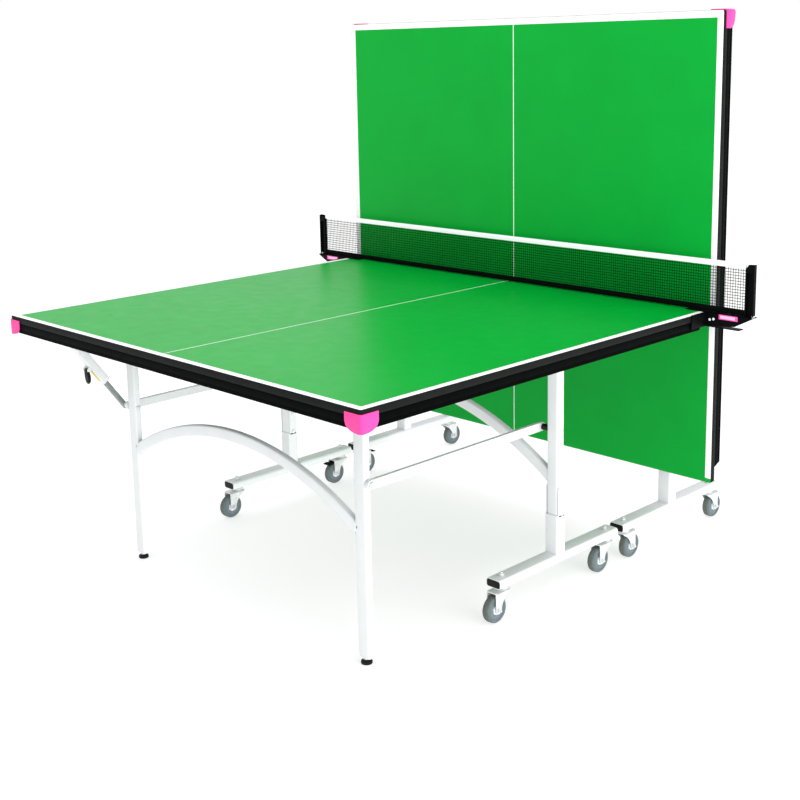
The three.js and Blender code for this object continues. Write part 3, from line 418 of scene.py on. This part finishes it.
def weld_bead(section, bead):
    """A ring of weld round a section in Y and Z, at x = 0."""
    rings = []
    for u, v in section:
        size = math.hypot(u, v)
        out = (u / size, v / size)
        rings.append([(bead * math.cos(b), u + out[0] * bead * math.sin(b), v + out[1] * bead * math.sin(b))
                      for b in [math.tau * k / 6 for k in range(6)]])
    return loft(rings, closed=True)


def arch_end_bead(top, radius, face):
    """The weld round the end of an arch, where it meets an upright's inner face; top is the arch's."""
    middle = radius - ARCH_BAND / 2
    slope = math.asin(face / middle)
    band = rounded(ARCH_DEPTH + 0.5, (ARCH_BAND + 0.5) / math.cos(slope), ARCH_CORNER)
    return weld_bead(band, 1.5), top - radius + middle * math.cos(slope)


def moved(shape, x=0, y=0, z=0, matrix=None):
    points, faces = shape
    matrix = Matrix.Translation((x, y, z)) @ (matrix or Matrix.Identity(4))
    return [tuple(matrix @ Vector(p)) for p in points], faces


# ---------------------------------------------------------------- pieces


def piece(name, shapes, body, place, replaces=(), bevel=0.0, segments=2, smooth_angle=32):
    """Makes one object that rides on a body, from (shape, material) pairs in the body's own frame."""
    mesh = bpy.data.meshes.new(name)
    work = bmesh.new()
    used = []
    for shape, material in shapes:
        if material not in used:
            used.append(material)
        index = used.index(material)
        points, faces = shape
        verts = [work.verts.new(place @ (Vector(p) * MM)) for p in points]
        made = [work.faces.new([verts[i] for i in f]) for f in faces]
        for face in made:
            face.material_index = index
            face.smooth = True
        bmesh.ops.recalc_face_normals(work, faces=made)
    for edge in work.edges:
        if len(edge.link_faces) == 2 and edge.calc_face_angle(0) > math.radians(smooth_angle):
            edge.smooth = False
    work.to_mesh(mesh)
    work.free()
    for material in used:
        mesh.materials.append(MATERIALS[material])
    made = bpy.data.objects.new(name, mesh)
    bpy.context.scene.collection.objects.link(made)
    if bevel:
        edges = made.modifiers.new("Rounding", "BEVEL")
        edges.width = bevel * MM
        edges.segments = segments
        edges.limit_method = "ANGLE"
        edges.angle_limit = math.radians(smooth_angle)
        edges.use_clamp_overlap = True
        edges.harden_normals = True
    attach(made, body)
    if replaces:
        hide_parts(*replaces)
    return made


def with_material(material, *shapes):
    return [(shape, material) for shape in shapes]


# The board, rails and guards: X across, Y from the end to the net edge, Z up, from the board's pivot.


def board_piece(name, body, place, node):
    """The board, with its lines, dark edge and underside as faces of their own."""
    half = WIDTH / 2
    cuts_x = [-half, -half + EDGE_LINE, -CENTRE_LINE / 2, CENTRE_LINE / 2, half - EDGE_LINE, half]
    cuts_y = [END_Y, END_Y + EDGE_LINE, NET_EDGE - LINE_STOP, NET_EDGE]
    work = bmesh.new()
    grid = {(i, j, k): work.verts.new((x, y, z)) for i, x in enumerate(cuts_x) for j, y in enumerate(cuts_y)
            for k, z in enumerate((BOTTOM, TOP))}
    columns, rows = len(cuts_x) - 1, len(cuts_y) - 1
    materials = ["green", "line", "edge", "under"]
    green, line, edge_dark, under = range(len(materials))
    for i in range(columns):
        for j in range(rows):
            around = [(i, j), (i + 1, j), (i + 1, j + 1), (i, j + 1)]
            face = work.faces.new([grid[*corner, 1] for corner in around])
            on_side = i in (0, columns - 1) and j < rows - 1
            on_centre = i == columns // 2
            face.material_index = line if on_side or on_centre or j == 0 else green
            face = work.faces.new([grid[*around[k], 0] for k in (0, 3, 2, 1)])
            face.material_index = under
    for i in range(columns):
        for j, flip in ((0, 1), (rows, 0)):
            quad = [grid[i, j, 0], grid[i + 1, j, 0], grid[i + 1, j, 1], grid[i, j, 1]]
            work.faces.new(quad if flip else quad[::-1]).material_index = edge_dark
    for j in range(rows):
        for i, flip in ((0, 0), (columns, 1)):
            quad = [grid[i, j, 0], grid[i, j + 1, 0], grid[i, j + 1, 1], grid[i, j, 1]]
            work.faces.new(quad if flip else quad[::-1]).material_index = edge_dark
    posts = [e for e in work.edges if abs(e.verts[0].co.z - e.verts[1].co.z) > 1
             and abs(abs(e.verts[0].co.x) - half) < 0.1 and e.verts[0].co.y in (END_Y, NET_EDGE)]
    bmesh.ops.bevel(work, geom=posts, offset=BOARD_CORNER, segments=5, profile=0.5, affect="EDGES",
                    material=edge_dark)
    rims = [e for e in work.edges if len(e.link_faces) == 2 and e.calc_face_angle(0) > 0.8
            and abs(e.verts[0].co.z - e.verts[1].co.z) < 0.1]
    bmesh.ops.bevel(work, geom=rims, offset=BOARD_RIM, segments=2, profile=0.5, affect="EDGES",
                    material=edge_dark)
    for face in work.faces:
        face.smooth = True
    for edge in work.edges:
        if len(edge.link_faces) == 2 and edge.calc_face_angle(0) > 0.6:
            edge.smooth = False
    for vert in work.verts:
        vert.co = place @ (vert.co * MM)
    bmesh.ops.recalc_face_normals(work, faces=work.faces)
    mesh = bpy.data.meshes.new(name)
    work.to_mesh(mesh)
    work.free()
    for material in materials:
        mesh.materials.append(MATERIALS[material])
    made = bpy.data.objects.new(name, mesh)
    bpy.context.scene.collection.objects.link(made)
    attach(made, body)
    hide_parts(node)


def channel(turn):
    """The rail's section: its web at u = 0, with a shallow rib, and two flanges towards +u."""
    top, low, r = RAIL_TOP, RAIL_LOW, RAIL_CORNER
    rib = [(0, low + 8), (0.5, low + 9), (0.5, low + 12), (0, low + 13)]
    web = arc(r, low + r, r, -HALF_PI, -math.pi, 5) + rib + arc(r, top - r, r, math.pi, HALF_PI, 5)
    inside = [(RAIL_FLANGE, top), (RAIL_FLANGE, top - RAIL_WALL), (RAIL_WALL, top - RAIL_WALL),
              (RAIL_WALL, low + RAIL_WALL), (RAIL_FLANGE, low + RAIL_WALL), (RAIL_FLANGE, low)]
    return [(turn * u, v) for u, v in web + inside]


def rail_pieces(half, place):
    reach = WIDTH / 2 - RAIL_SETBACK
    body = half + "_top"
    shape = rod(channel(1), -reach, reach, END_Y + RAIL_SETBACK)
    piece(half + "_end_apron", with_material("rail", shape), body, place, [half + "_end_rail"],
          smooth_angle=40)
    start = END_Y + RAIL_SETBACK + RAIL_FLANGE + CONTACT_GAP
    end = NET_EDGE - RAIL_NET_SETBACK
    for side, word in ((-1, "left"), (1, "right")):
        section = channel(-side)
        rings = [[(side * reach + u, start, v) for u, v in section],
                 [(side * reach + u, end - RAIL_END_CUT * (RAIL_TOP - v) / (RAIL_TOP - RAIL_LOW), v)
                  for u, v in section]]
        piece(f"{half}_side_apron_{word}", with_material("rail", loft(rings)), body, place,
              [f"{half}_side_rail_{word}"], smooth_angle=40)


def guard_piece(half, side, word, place):
    """A guard that wraps one corner: a shield shape, flush at the top, curved below."""
    corner = Vector((side * WIDTH / 2, END_Y))
    straight = GUARD_WING - BOARD_CORNER
    # places round the corner: (distance along a straight side, None) or (None, share of the turn)
    route = [(-GUARD_WING + straight * i / 12, None) for i in range(13)]
    route += [(None, i / 8) for i in range(1, 8)]
    route += [(BOARD_CORNER + straight * i / 12, None) for i in range(13)]

    def place_at(along, turn, out):
        if turn is not None:
            angle = HALF_PI * turn
            centre = corner + Vector((-side * BOARD_CORNER, BOARD_CORNER))
            return centre + Vector((side * math.sin(angle), -math.cos(angle))) * (BOARD_CORNER + out)
        if along <= 0:
            return corner + Vector((side * along, -out))
        return corner + Vector((side * out, along))

    rings = []
    for along, turn in route:
        share = abs(along) / GUARD_WING if turn is None else BOARD_CORNER / GUARD_WING * abs(2 * turn - 1)
        rise = (GUARD_HEIGHT - GUARD_TIP_HEIGHT) * (1 - math.sqrt(max(0, 1 - min(1, share) ** 2.6)))
        low = GUARD_TOP - GUARD_HEIGHT + rise
        outer = 3.05 + 0.25 * (1 - share ** 4)
        section = [(CONTACT_GAP, GUARD_TOP), (outer - 0.45, GUARD_TOP), (outer, GUARD_TOP - 1),
                   (outer, low + 1.2), (outer - 0.55, low), (CONTACT_GAP, low)]
        rings.append([(*place_at(along, turn, out), z) for out, z in section])
    shapes = with_material("guard", loft(rings))
    sunk, head = 2.4, dome(3.2, 0.9)
    end_screw = corner + Vector((-side * GUARD_SCREW_ALONG, -sunk))
    side_screw = corner + Vector((side * sunk, GUARD_SCREW_ALONG))
    shapes.append((turned(head, "Y", 16, (*end_screw, GUARD_SCREW_Z), sign=-1), "screw"))
    shapes.append((turned(head, "X", 16, (*side_screw, GUARD_SCREW_Z), sign=side), "screw"))
    piece(f"{half}_corner_cap_{word}", shapes, half + "_top", place, [f"{half}_corner_guard_{word}"],
          bevel=0.5, smooth_angle=42)


# The leg frame, from the leg pivot, and the trolley, from the floor below the board's pivot.


def leg_piece(half, place):
    """Two legs and their arch, with the link pins on the legs' outer faces."""
    width, depth, _ = LEG_TUBE
    bottom = LEG_BOTTOM - PIVOT_Z
    pin_z = LINK_Z - PIVOT_Z
    arch_top = LEG_ARCH_TOP - PIVOT_Z
    bead, bead_z = arch_end_bead(arch_top, LEG_ARCH_RADIUS, LEG_X - width / 2)
    shapes = [(arch(arch_top, LEG_ARCH_RADIUS, LEG_X - 16), "frame")]
    for side in (-1, 1):
        x = side * LEG_X
        outer, inner = x + side * width / 2, x - side * width / 2
        pin_end = STRUT_SIDE_PIN_X if side < 0 else PLAIN_SIDE_PIN_X
        shapes.append((column(rounded(*LEG_TUBE), bottom, 11, x), "frame"))
        shapes.append((column(rounded(width - 4.2, depth - 4.2, 3), bottom + 0.2, bottom + 2, x), "black"))
        shapes.append((pin(PIN_RADIUS, pin_end - LEG_X, "X", (x, 0, pin_z), side, 20), "zinc"))
        head_at = (side * pin_end, 0, pin_z)
        shapes.append((turned(dome(PIN_HEAD_RADIUS, 4.2), "X", 24, head_at, sign=side), "zinc"))
        shapes.append((pin(PIN_HEAD_RADIUS, WASHER, "X", (outer, 0, pin_z), side), "zinc"))
        shapes.append((turned(dome(8, 3.0), "X", 24, (inner, 0, pin_z), sign=-side), "zinc"))
        shapes.append((moved(bead, inner - side * CONTACT_GAP, 0, bead_z), "frame"))
    piece(half + "_end_frame", shapes, half + "_legs", place, [half + "_leg_frame"], bevel=0.6,
          smooth_angle=38)


def foot_piece(half, side, word, place):
    """A round foot on its threaded stem, from the floor."""
    profile = [(13, 0), (14.4, 0.6), (15, 2), (15, 6), (14, 8), (9, 10.5), (8, 12), (5, 12.2), (5, 46)]
    lock_nut = turned([(8.5, 12), (9, 12.6), (9, 16), (8.5, 16.8)], "Z", 6)
    piece(f"{half}_levelling_foot_{word}", [(turned(profile), "black"), (lock_nut, "zinc")],
          f"{half}_foot_{word}", place @ Matrix.Translation((side * LEG_X * MM, 0, -PIVOT_Z * MM)),
          [f"{half}_foot_{word}"], smooth_angle=34)


def upright_piece(half, place):
    """Two posts and their arch, with the link bars' spacers and pins on the posts' inner faces."""
    width, depth, corner = POST_TUBE
    arch_top, radius = TROLLEY_ARCH_TOP, TROLLEY_ARCH_RADIUS
    bead, bead_z = arch_end_bead(arch_top, radius, POST_X - width / 2)
    shapes = [(arch(arch_top, radius, POST_X - 14), "frame")]
    for side in (-1, 1):
        x = side * POST_X
        outer, inner = x + side * width / 2, x - side * width / 2
        spacer_length = POST_X - width / 2 - PLAIN_SIDE_PIN_X
        shapes.append((column(rounded(*POST_TUBE), POST_BOTTOM, POST_TOP - 2, x), "frame"))
        shapes.append((column(rounded(width - 2, depth - 2, corner - 1), POST_TOP - 2, POST_TOP, x), "black"))
        spacer_at = (side * PLAIN_SIDE_PIN_X, 0, LINK_Z)
        shapes.append((pin(PIN_HEAD_RADIUS, spacer_length, "X", spacer_at, side), "black"))
        pin_at = (side * (PIN_HEAD_X - 0.8), 0, LINK_Z)
        shapes.append((pin(PIN_RADIUS, 18, "X", pin_at, side, 18), "zinc"))
        head_at = (side * PIN_HEAD_X, 0, LINK_Z)
        shapes.append((turned(dome(PIN_HEAD_RADIUS, 3.2), "X", 24, head_at, sign=-side), "zinc"))
        bolt = turned(dome(BOLT_RADIUS, BOLT_HEIGHT), "X", 24, (outer, 0, LINK_Z), sign=side)
        shapes.append((bolt, "zinc"))
        shapes.append((moved(bead, inner - side * CONTACT_GAP, 0, bead_z), "frame"))
    piece(half + "_posts_and_arch", shapes, half + "_trolley", place, [half + "_upright_frame"], bevel=0.6,
          smooth_angle=38)


def socket_shapes(x):
    """A sleeve round the foot of a post, two cheeks that run up its sides, their bolts and the weld."""
    hole = (POST_TUBE[0] + 1, POST_TUBE[1] + 1)
    inner = rounded(*hole, 4)
    outer = rounded(*(size + 2 * SOCKET_WALL for size in hole), 6)
    low = BAR_TOP - 1
    sleeve = [[(x + u, v, z) for u, v in outline] for outline, z in
              ((outer, low), (outer, SLEEVE_TOP), (inner, SLEEVE_TOP), (inner, low))]
    shapes = [(loft(sleeve, closed=True), "frame")]
    top = SOCKET_TOP
    foot = SLEEVE_TOP - 5
    cheek = [(-14, foot), (14, foot), (14, top - 8), (10, top), (-10, top), (-14, top - 8)]
    faces = (hole[0] / 2, hole[0] / 2 + SOCKET_WALL)
    for turn in (-1, 1):
        shapes.append((loft([[(x + turn * r, u, v) for u, v in cheek] for r in faces]), "frame"))
        for z in SOCKET_BOLTS:
            bolt = turned(dome(BOLT_RADIUS, BOLT_HEIGHT), "X", 24, (x + turn * faces[1], 0, z), sign=turn)
            shapes.append((bolt, "frame"))
    bead = weld_bead([(v, u) for u, v in outer], 1.4)
    shapes.append((moved(bead, x, 0, BAR_TOP, Matrix.Rotation(-HALF_PI, 4, "Y")), "frame"))
    return shapes


def bar_end_shapes(x, turn):
    """A bar's end cap, and the nut and race of the caster near it."""
    cap = rounded(BAR_TUBE[0] - 4.4, BAR_TUBE[1] - 4.4, 6, 6)
    rim = rounded(BAR_TUBE[0] - 9, BAR_TUBE[1] - 9, 4.5, 6)
    rings = [[(x + u, turn * (BAR_END - inset), BAR_MIDDLE + v) for u, v in outline]
             for inset, outline in ((8, rim), (1, cap), (0.4, cap), (0, rim))]
    y = turn * STEM_Y
    race = [(19, 90.6), (19, 94), (16, 95.5), (16, 97.5)]
    return [(loft(rings), "black"), *with_material("zinc", *nut(8.6, 8, "Z", (x, y, BAR_TOP))),
            (turned(race, "Z", 28, (x, y, 0)), "zinc")]


def wheel_bar_pieces(half, place):
    for side, word in ((-1, "left"), (1, "right")):
        x = side * POST_X
        bar = beam(rounded(*BAR_TUBE), 1 - BAR_END, BAR_END - 1, x, BAR_MIDDLE)
        shapes = [(bar, "frame"), *socket_shapes(x), *bar_end_shapes(x, -1), *bar_end_shapes(x, 1)]
        piece(f"{half}_wheel_rail_{word}", shapes, half + "_trolley", place, [f"{half}_wheel_bar_{word}"],
              bevel=0.5, smooth_angle=38)


# Casters, from the floor below the stem; the wheel from its axle and the pedal from its pin.


def fork_piece(name, place, braked):
    """The crown, its swivel race, two cheeks that sweep back to the axle, and the axle with its nuts."""
    lip = CROWN_TOP - 0.5
    back = [(-17.5, 46), (-13.5, 55), (-6, 66), (5, 75), (15, 80.5), (18, 82.5)]
    cheek = [(18, lip), (-39, lip), (-41, lip - 2)]
    cheek += arc(-TRAIL, AXLE_HEIGHT, 11, math.pi, 2 * math.pi, 10) + back
    shapes = []
    for turn in (-1, 1):
        rings = [[(turn * x, u, v) for u, v in cheek] for x in (FORK_INNER, FORK_OUTER)]
        shapes.append((loft(rings), "zinc"))
        shapes += with_material("zinc", *nut(6.4, 5, "X", (turn * FORK_OUTER, -TRAIL, AXLE_HEIGHT), turn))
    shapes.append((column(rounded(2 * FORK_OUTER, 59, 3), CROWN_TOP - 3, CROWN_TOP, 0, -11.5), "zinc"))
    shapes.append((turned([(15, lip), (19, lip + 0.9), (19, lip + 2.7), (16, lip + 3.5)], "Z", 28), "zinc"))
    shapes.append((turned([(4, -15), (4, 15)], "X", 16, (0, -TRAIL, AXLE_HEIGHT)), "zinc"))
    if braked:
        shapes.append((turned([(1.5, -17.6), (1.5, 17.6)], "X", 12, (0, *PEDAL_PIN)), "zinc"))
    piece(name + "_housing", shapes, name + "_fork", place, [name + "_fork"], bevel=0.5, smooth_angle=38)


def mirrored(profile):
    """A lathe profile with its mirror image before it."""
    return [(r, -x) for r, x in reversed(profile)] + profile


def wheel_piece(name, place):
    """A tyre with a grooved tread, a core with six ribs on each side, and a hub."""
    side = [(37.45, 6.5), (36.9, 9.0), (35.2, 11.0), (32, 12.0), (28.6, 12.0), (27.4, 11.2), (26.4, 11.2)]
    belt = [(37.1, 0.6), (37.5, 1.0), (37.5, 5.6), (37.0, 6.3), (34, 4)]
    core = [(26.6, 10.2), (25.0, 10.6), (15.2, 10.2), (14.2, 9.2)]
    hub = [(4.6, 13.5), (9.4, 13.5), (10.6, 12.8), (11.4, 10.6), (14.4, 10.2)]
    rings = ((mirrored(side), "tyre"), (mirrored(belt), "tread"), (mirrored(core), "core"),
             (mirrored(hub), "hub"))
    shapes = [(turned(profile, "X", 44, closed=True), material) for profile, material in rings]
    rib_foot, rib_ends = 9.6, ((14.0, 11.4), (24.6, 11.2))
    for i in range(6):
        for turn in (-1, 1):
            rib = loft([[(turn * rib_foot, r, -1.2), (turn * rib_foot, r, 1.2), (turn * h, r, 0.9),
                         (turn * h, r, -0.9)] for r, h in rib_ends])
            shapes.append((moved(rib, matrix=Matrix.Rotation(math.tau * i / 6, 4, "X")), "core"))
    piece(name + "_tyre_and_hub", shapes, name + "_wheel", place, [name + "_wheel"], smooth_angle=36)


def pedal_piece(name, place):
    """A plate that slopes back from its pin to a wider tip with three grip bars."""
    outline = [(0, 12), (-34, 12), (-38, 17), (-52, 17), (-55, 14)]
    rings = []
    for y, half_width in outline:
        base = max(y, -52) * PEDAL_SLOPE
        rings.append([(-half_width, y, base), (half_width, y, base), (half_width, y, base + 2),
                      (-half_width, y, base + 2)])
    shapes = [(loft(rings), "bracket")]
    grip = [(-1, 1.6), (1, 1.6), (0.6, 3.2), (-0.6, 3.2)]
    for y in (-40, -44, -48):
        shapes.append((rod(grip, -15, 15, y, y * PEDAL_SLOPE), "bracket"))
    shapes.append((turned([(3.2, -12), (3.2, 12)], "X", 18), "zinc"))
    piece(name + "_pedal_plate", shapes, name + "_brake_pedal", place, [name + "_brake_pedal"], bevel=0.4,
          smooth_angle=38)


# Links and strut tubes, each from its own pivot.


def link_piece(half, word, place):
    end = 12.5
    section = arc(0, 0, end, -HALF_PI, HALF_PI, 10) + arc(-LINK_LENGTH, 0, end, HALF_PI, 3 * HALF_PI, 10)
    body = f"{half}_link_{word}"
    piece(f"{half}_link_bar_{word}", with_material("frame", rod(section, -6, 6)), body, place, [body],
          bevel=2.2, segments=3, smooth_angle=38)


def strut_outer_piece(half, place):
    """The strut's square outer tube, open at its lower end, with the lugs and pin of the lever."""
    outer, inner = rounded(26, 26, 4), rounded(23, 23, 3)
    mouth = -STRUT_OUTER_LENGTH
    rings = [[(u, v, z) for u, v in outline] for outline, z in
             ((outer, STRUT_HEAD), (outer, mouth), (inner, mouth), (inner, mouth + 18))]
    strip = column(rounded(11, 1.2, 0.5, 2), mouth + 12, mouth + 72, 0, -13.6)
    shapes = [(loft(rings), "frame"), (strip, "yellow")]
    lug = [(-12, 8), (-22, 5), (-27, 0), (-22, -5), (-12, -8)]
    for turn in (-1, 1):
        rings = [[(turn * x, y, z - LEVER_DISTANCE) for y, z in lug] for x in (10.8, 13)]
        shapes.append((loft(rings), "frame"))
        shapes.append((turned(dome(5, 2), "X", 18, (turn * 13, 0, 0), sign=turn), "zinc"))
    shapes.append((turned([(3, -12), (3, 12)], "X", 14, (0, -21, -LEVER_DISTANCE)), "zinc"))
    body = half + "_strut_outer"
    piece(half + "_lock_tube", shapes, body, place, [body], bevel=0.5, smooth_angle=38)


def paddle_piece(half, place):
    """The release lever: a blade that widens below its pin and thins to a tip."""
    stations = ((4, -3, 3, 5), (0, -4.5, 4.5, 7), (-8, -4.5, 5, 8.5), (-18, -3.6, 6.2, 10),
                (-28, -3.0, 6.2, 10), (-37, -2.2, 5.2, 8.5), (-43, -1.0, 3.2, 4))
    blade = [[(-wide, low, z), (wide, low, z), (wide, high, z), (-wide, high, z)]
             for z, low, high, wide in stations]
    body = half + "_strut_lever"
    piece(half + "_release_paddle", with_material("black", loft(blade)), body, place, [body], bevel=1.2,
          segments=3, smooth_angle=38)


def strut_inner_piece(half, place):
    """The strut's inner tube, which slides in the outer one, with a washer on each side of its pivot."""
    section = rounded(14, 15, 3)
    tube = column(section, -STRUT_INNER_HEAD, STRUT_INNER_LENGTH, 0, STRUT_INNER_OFFSET)
    shapes = [(tube, "steel")]
    for turn in (-1, 1):
        washer = turned([(8.2, 0), (8.2, 1.4), (7.4, 1.9)], "X", 20, (turn * 7, 0, 0), sign=turn)
        shapes.append((washer, "zinc"))
    body = half + "_strut_inner"
    piece(half + "_lock_slide", shapes, body, place, [body], bevel=0.4, smooth_angle=38)


# ---------------------------------------------------------------- net set, from the board's pivot


def support_piece(side, word, place):
    """A net support: a bar over the board, a gusset, a side plate, a shelf and the net's post."""
    front, back = NET_Y - BRACKET_HALF_DEPTH, NET_Y + BRACKET_HALF_DEPTH
    plate = WIDTH / 2 + CONTACT_GAP
    bar, shelf, top = TOP + CONTACT_GAP, 7, NET_TOP
    shapes = []

    def slab(points, y0, y1, material="bracket"):
        shapes.append((loft([[(side * x, y, z) for x, z in points] for y in (y0, y1)]), material))

    slab([(695, bar), (700, bar + 3), (906, bar + 3), (914.5, 49.2), (914.5, bar)], front, back)
    slab([(plate, 49.5), (914, 49.5), (913, 46), (858, 17), (plate, shelf)], front, front + 3)
    slab([(plate, 49), (plate + 3, 49), (plate + 3, shelf), (plate, shelf)], back - BRACKET_PLATE_LENGTH,
         back)
    slab([(plate, shelf + 3), (872, shelf + 3), (874, 8.5), (872, shelf), (plate, shelf)], front, back)
    # the net post: a back, a flange on each side, and a cap
    slab([(884, 50), (884, top - 12), (889, top - 4), (912, top - 2), (912, 50)], NET_Y + 2, NET_Y + 6)
    slab([(884, 50), (884, top - 16), (888, top - 10), (888, 50)], NET_Y - 6, NET_Y + 4)
    slab([(908, 50), (908, top - 6), (912, top - 3), (912, 50)], NET_Y - 6, NET_Y + 4)
    slab([(886, top - 26), (886, top - 12), (896, top - 7), (910, top - 9), (910, top - 26)],
         NET_Y - 5, NET_Y + 3)
    # a blank label on the gusset
    slab([(808, 33), (808, 47), (868, 47), (868, 33)], front - 0.8, front + 0.2, "label")
    slab([(813, 36), (813, 44.4), (860, 44.4), (860, 36)], front - 1.1, front - 0.4, "panel")
    for along, up in ((16, 28), (28, 31)):
        bolt = turned(dome(4, 2), "Y", 18, (side * (plate + along), front, up), sign=-1)
        shapes.append((bolt, "hub"))
    knob = turned([(4, 0), (4.6, 0.6), (4.6, 3.4), (4, 4)], "Z", 18, (side * 909, NET_Y, 50))
    shapes.append((knob, "hub"))
    tip = turned([(2.4, 0), (2.4, 3), (2, 3.4)], "X", 14, (side * 911, NET_Y - 9, 48.6), sign=side)
    shapes.append((tip, "hub"))
    piece("net_bracket_" + word, shapes, "near_top", place, ["net_support_" + word], bevel=0.5,
          smooth_angle=34)


def cords_piece(place):
    """The net's mesh: upright cords, each bent a little at its middle, and level cords through them."""
    low, high = NET_LOW + 14, NET_TOP - 13
    shapes = []

    def strand(points, along):
        square = [(CORD_RADIUS, 0), (0, CORD_RADIUS), (-CORD_RADIUS, 0), (0, -CORD_RADIUS)]
        rings = [[(x + a, y + b, z) if along == "Z" else (x, y + a, z + b) for a, b in square]
                 for x, y, z in points]
        shapes.append((loft(rings), "cord"))

    columns = int(2 * NET_REACH / NET_PITCH)
    for i in range(columns + 1):
        x = -NET_REACH + 2 * NET_REACH * i / columns
        wander_x, wander_y = (random.uniform(-0.3, 0.3) for _ in range(2))
        strand([(x, NET_Y, low), (x + wander_x, NET_Y + wander_y, (low + high) / 2), (x, NET_Y, high)], "Z")
    rows = int((high - low) / NET_PITCH)
    steps = 60
    for j in range(1, rows):
        z = low + (high - low) * j / rows
        strand([(-NET_REACH + 2 * NET_REACH * i / steps, NET_Y + 0.2, z + random.uniform(-0.2, 0.2))
                for i in range(steps + 1)], "X")
    return piece("net_cords", shapes, "near_top", place, ["net_mesh"], smooth_angle=60)


def strip_piece(name, base, tip, thick, material, replaced, sway, place):
    """A strip folded over a line from end to end of the net: a U section, open at its base."""
    wall, steps = 0.6, 48
    turn = 1 if tip > base else -1
    section = [(-thick, base), (-thick, tip - turn * 1.2), (-thick * 0.5, tip), (thick * 0.5, tip),
               (thick, tip - turn * 1.2), (thick, base), (thick - wall, base),
               (thick - wall, tip - turn * 1.6), (wall - thick, tip - turn * 1.6), (wall - thick, base)]
    rings = [[(-NET_REACH + 2 * NET_REACH * i / steps, NET_Y + u, v + sway * math.sin(math.pi * i / steps))
              for u, v in section] for i in range(steps + 1)]
    return piece(name, with_material(material, loft(rings)), "near_top", place, replaced, smooth_angle=50)


def net_pieces(place):
    cords = cords_piece(place)
    tape = strip_piece("net_top_tape", NET_TOP - TAPE_HEIGHT, NET_TOP, 2, "tape", ["net_tape"], -0.6, place)
    band = strip_piece("net_bottom_band", NET_LOW + BAND_HEIGHT, NET_LOW, 1.8, "band", [], 0.4, place)


# ---------------------------------------------------------------- the table


def body_frames(half, fold, yaw):
    """The rest place of each body's own frame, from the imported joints."""
    turn = Matrix.Rotation(yaw, 4, "Z")

    def at(body, tilt=0.0):
        place = Matrix.Translation(joint_of[f"{half}_{body}"]["pos_m"])
        return place @ turn @ Matrix.Rotation(tilt, 4, "X")

    pivot = Vector(joint_of[half + "_top"]["pos_m"])
    anchor = Vector(joint_of[half + "_strut_outer"]["pos_m"])
    heel = Vector(joint_of[half + "_strut_inner"]["pos_m"])
    run = turn.inverted() @ (heel - anchor)
    tilt = math.atan2(run.y, -run.z)
    frames = {
        "trolley": Matrix.Translation((pivot.x, pivot.y, 0)) @ turn,
        "top": at("top", -fold),
        "legs": at("legs"),
        "strut_outer": at("strut_outer", tilt),
        "strut_lever": at("strut_lever", tilt - LEVER_OPENING),
        "strut_inner": at("strut_inner", tilt),
    }
    for word in ("left", "right"):
        frames["link_" + word] = at("link_" + word, -fold)
    return frames, turn


def paint_node(node, material):
    """Gives a carried-over CAD node its finish, with its edges rounded."""
    target = frame["nodes"][node]
    target.data.materials.clear()
    target.data.materials.append(MATERIALS[material])
    edges = target.modifiers.new("Rounding", "BEVEL")
    edges.width = 0.6 * MM
    edges.segments = 2
    edges.limit_method = "ANGLE"
    edges.angle_limit = math.radians(40)


def build_half(half, fold, yaw, braked):
    """Makes one half. fold and yaw turn its board and its trolley, and braked is the caster with a pedal."""
    frames, turn = body_frames(half, fold, yaw)
    board_piece(half + "_playing_board", half + "_top", frames["top"], half + "_board")
    rail_pieces(half, frames["top"])
    leg_piece(half, frames["legs"])
    upright_piece(half, frames["trolley"])
    wheel_bar_pieces(half, frames["trolley"])
    strut_outer_piece(half, frames["strut_outer"])
    paddle_piece(half, frames["strut_lever"])
    strut_inner_piece(half, frames["strut_inner"])
    for side, word in ((-1, "left"), (1, "right")):
        guard_piece(half, side, word, frames["top"])
        foot_piece(half, side, word, frames["legs"])
        link_piece(half, word, frames["link_" + word])
        paint_node(f"{half}_bearer_{word}", "frame")
        for spot in ("outer", "inner"):
            name = f"{half}_caster_{word}_{spot}"
            stem = Vector(joint_of[name + "_fork"]["pos_m"])
            stem.z = 0
            has_brake = name == braked
            fork_piece(name, Matrix.Translation(stem) @ turn, has_brake)
            axle = Vector(joint_of[name + "_wheel"]["pos_m"])
            wheel_piece(name, Matrix.Translation(axle) @ turn)
            if has_brake:
                hinge = Vector(joint_of[name + "_brake_pedal"]["pos_m"])
                pedal_piece(name, Matrix.Translation(hinge) @ turn)
    return frames


make_camera()
make_stage()
near = build_half("near", 0, 0, "near_caster_left_inner")
build_half("far", HALF_PI, math.pi, "far_caster_right_inner")
for side, word in ((-1, "left"), (1, "right")):
    support_piece(side, word, near["top"])
net_pieces(near["top"])
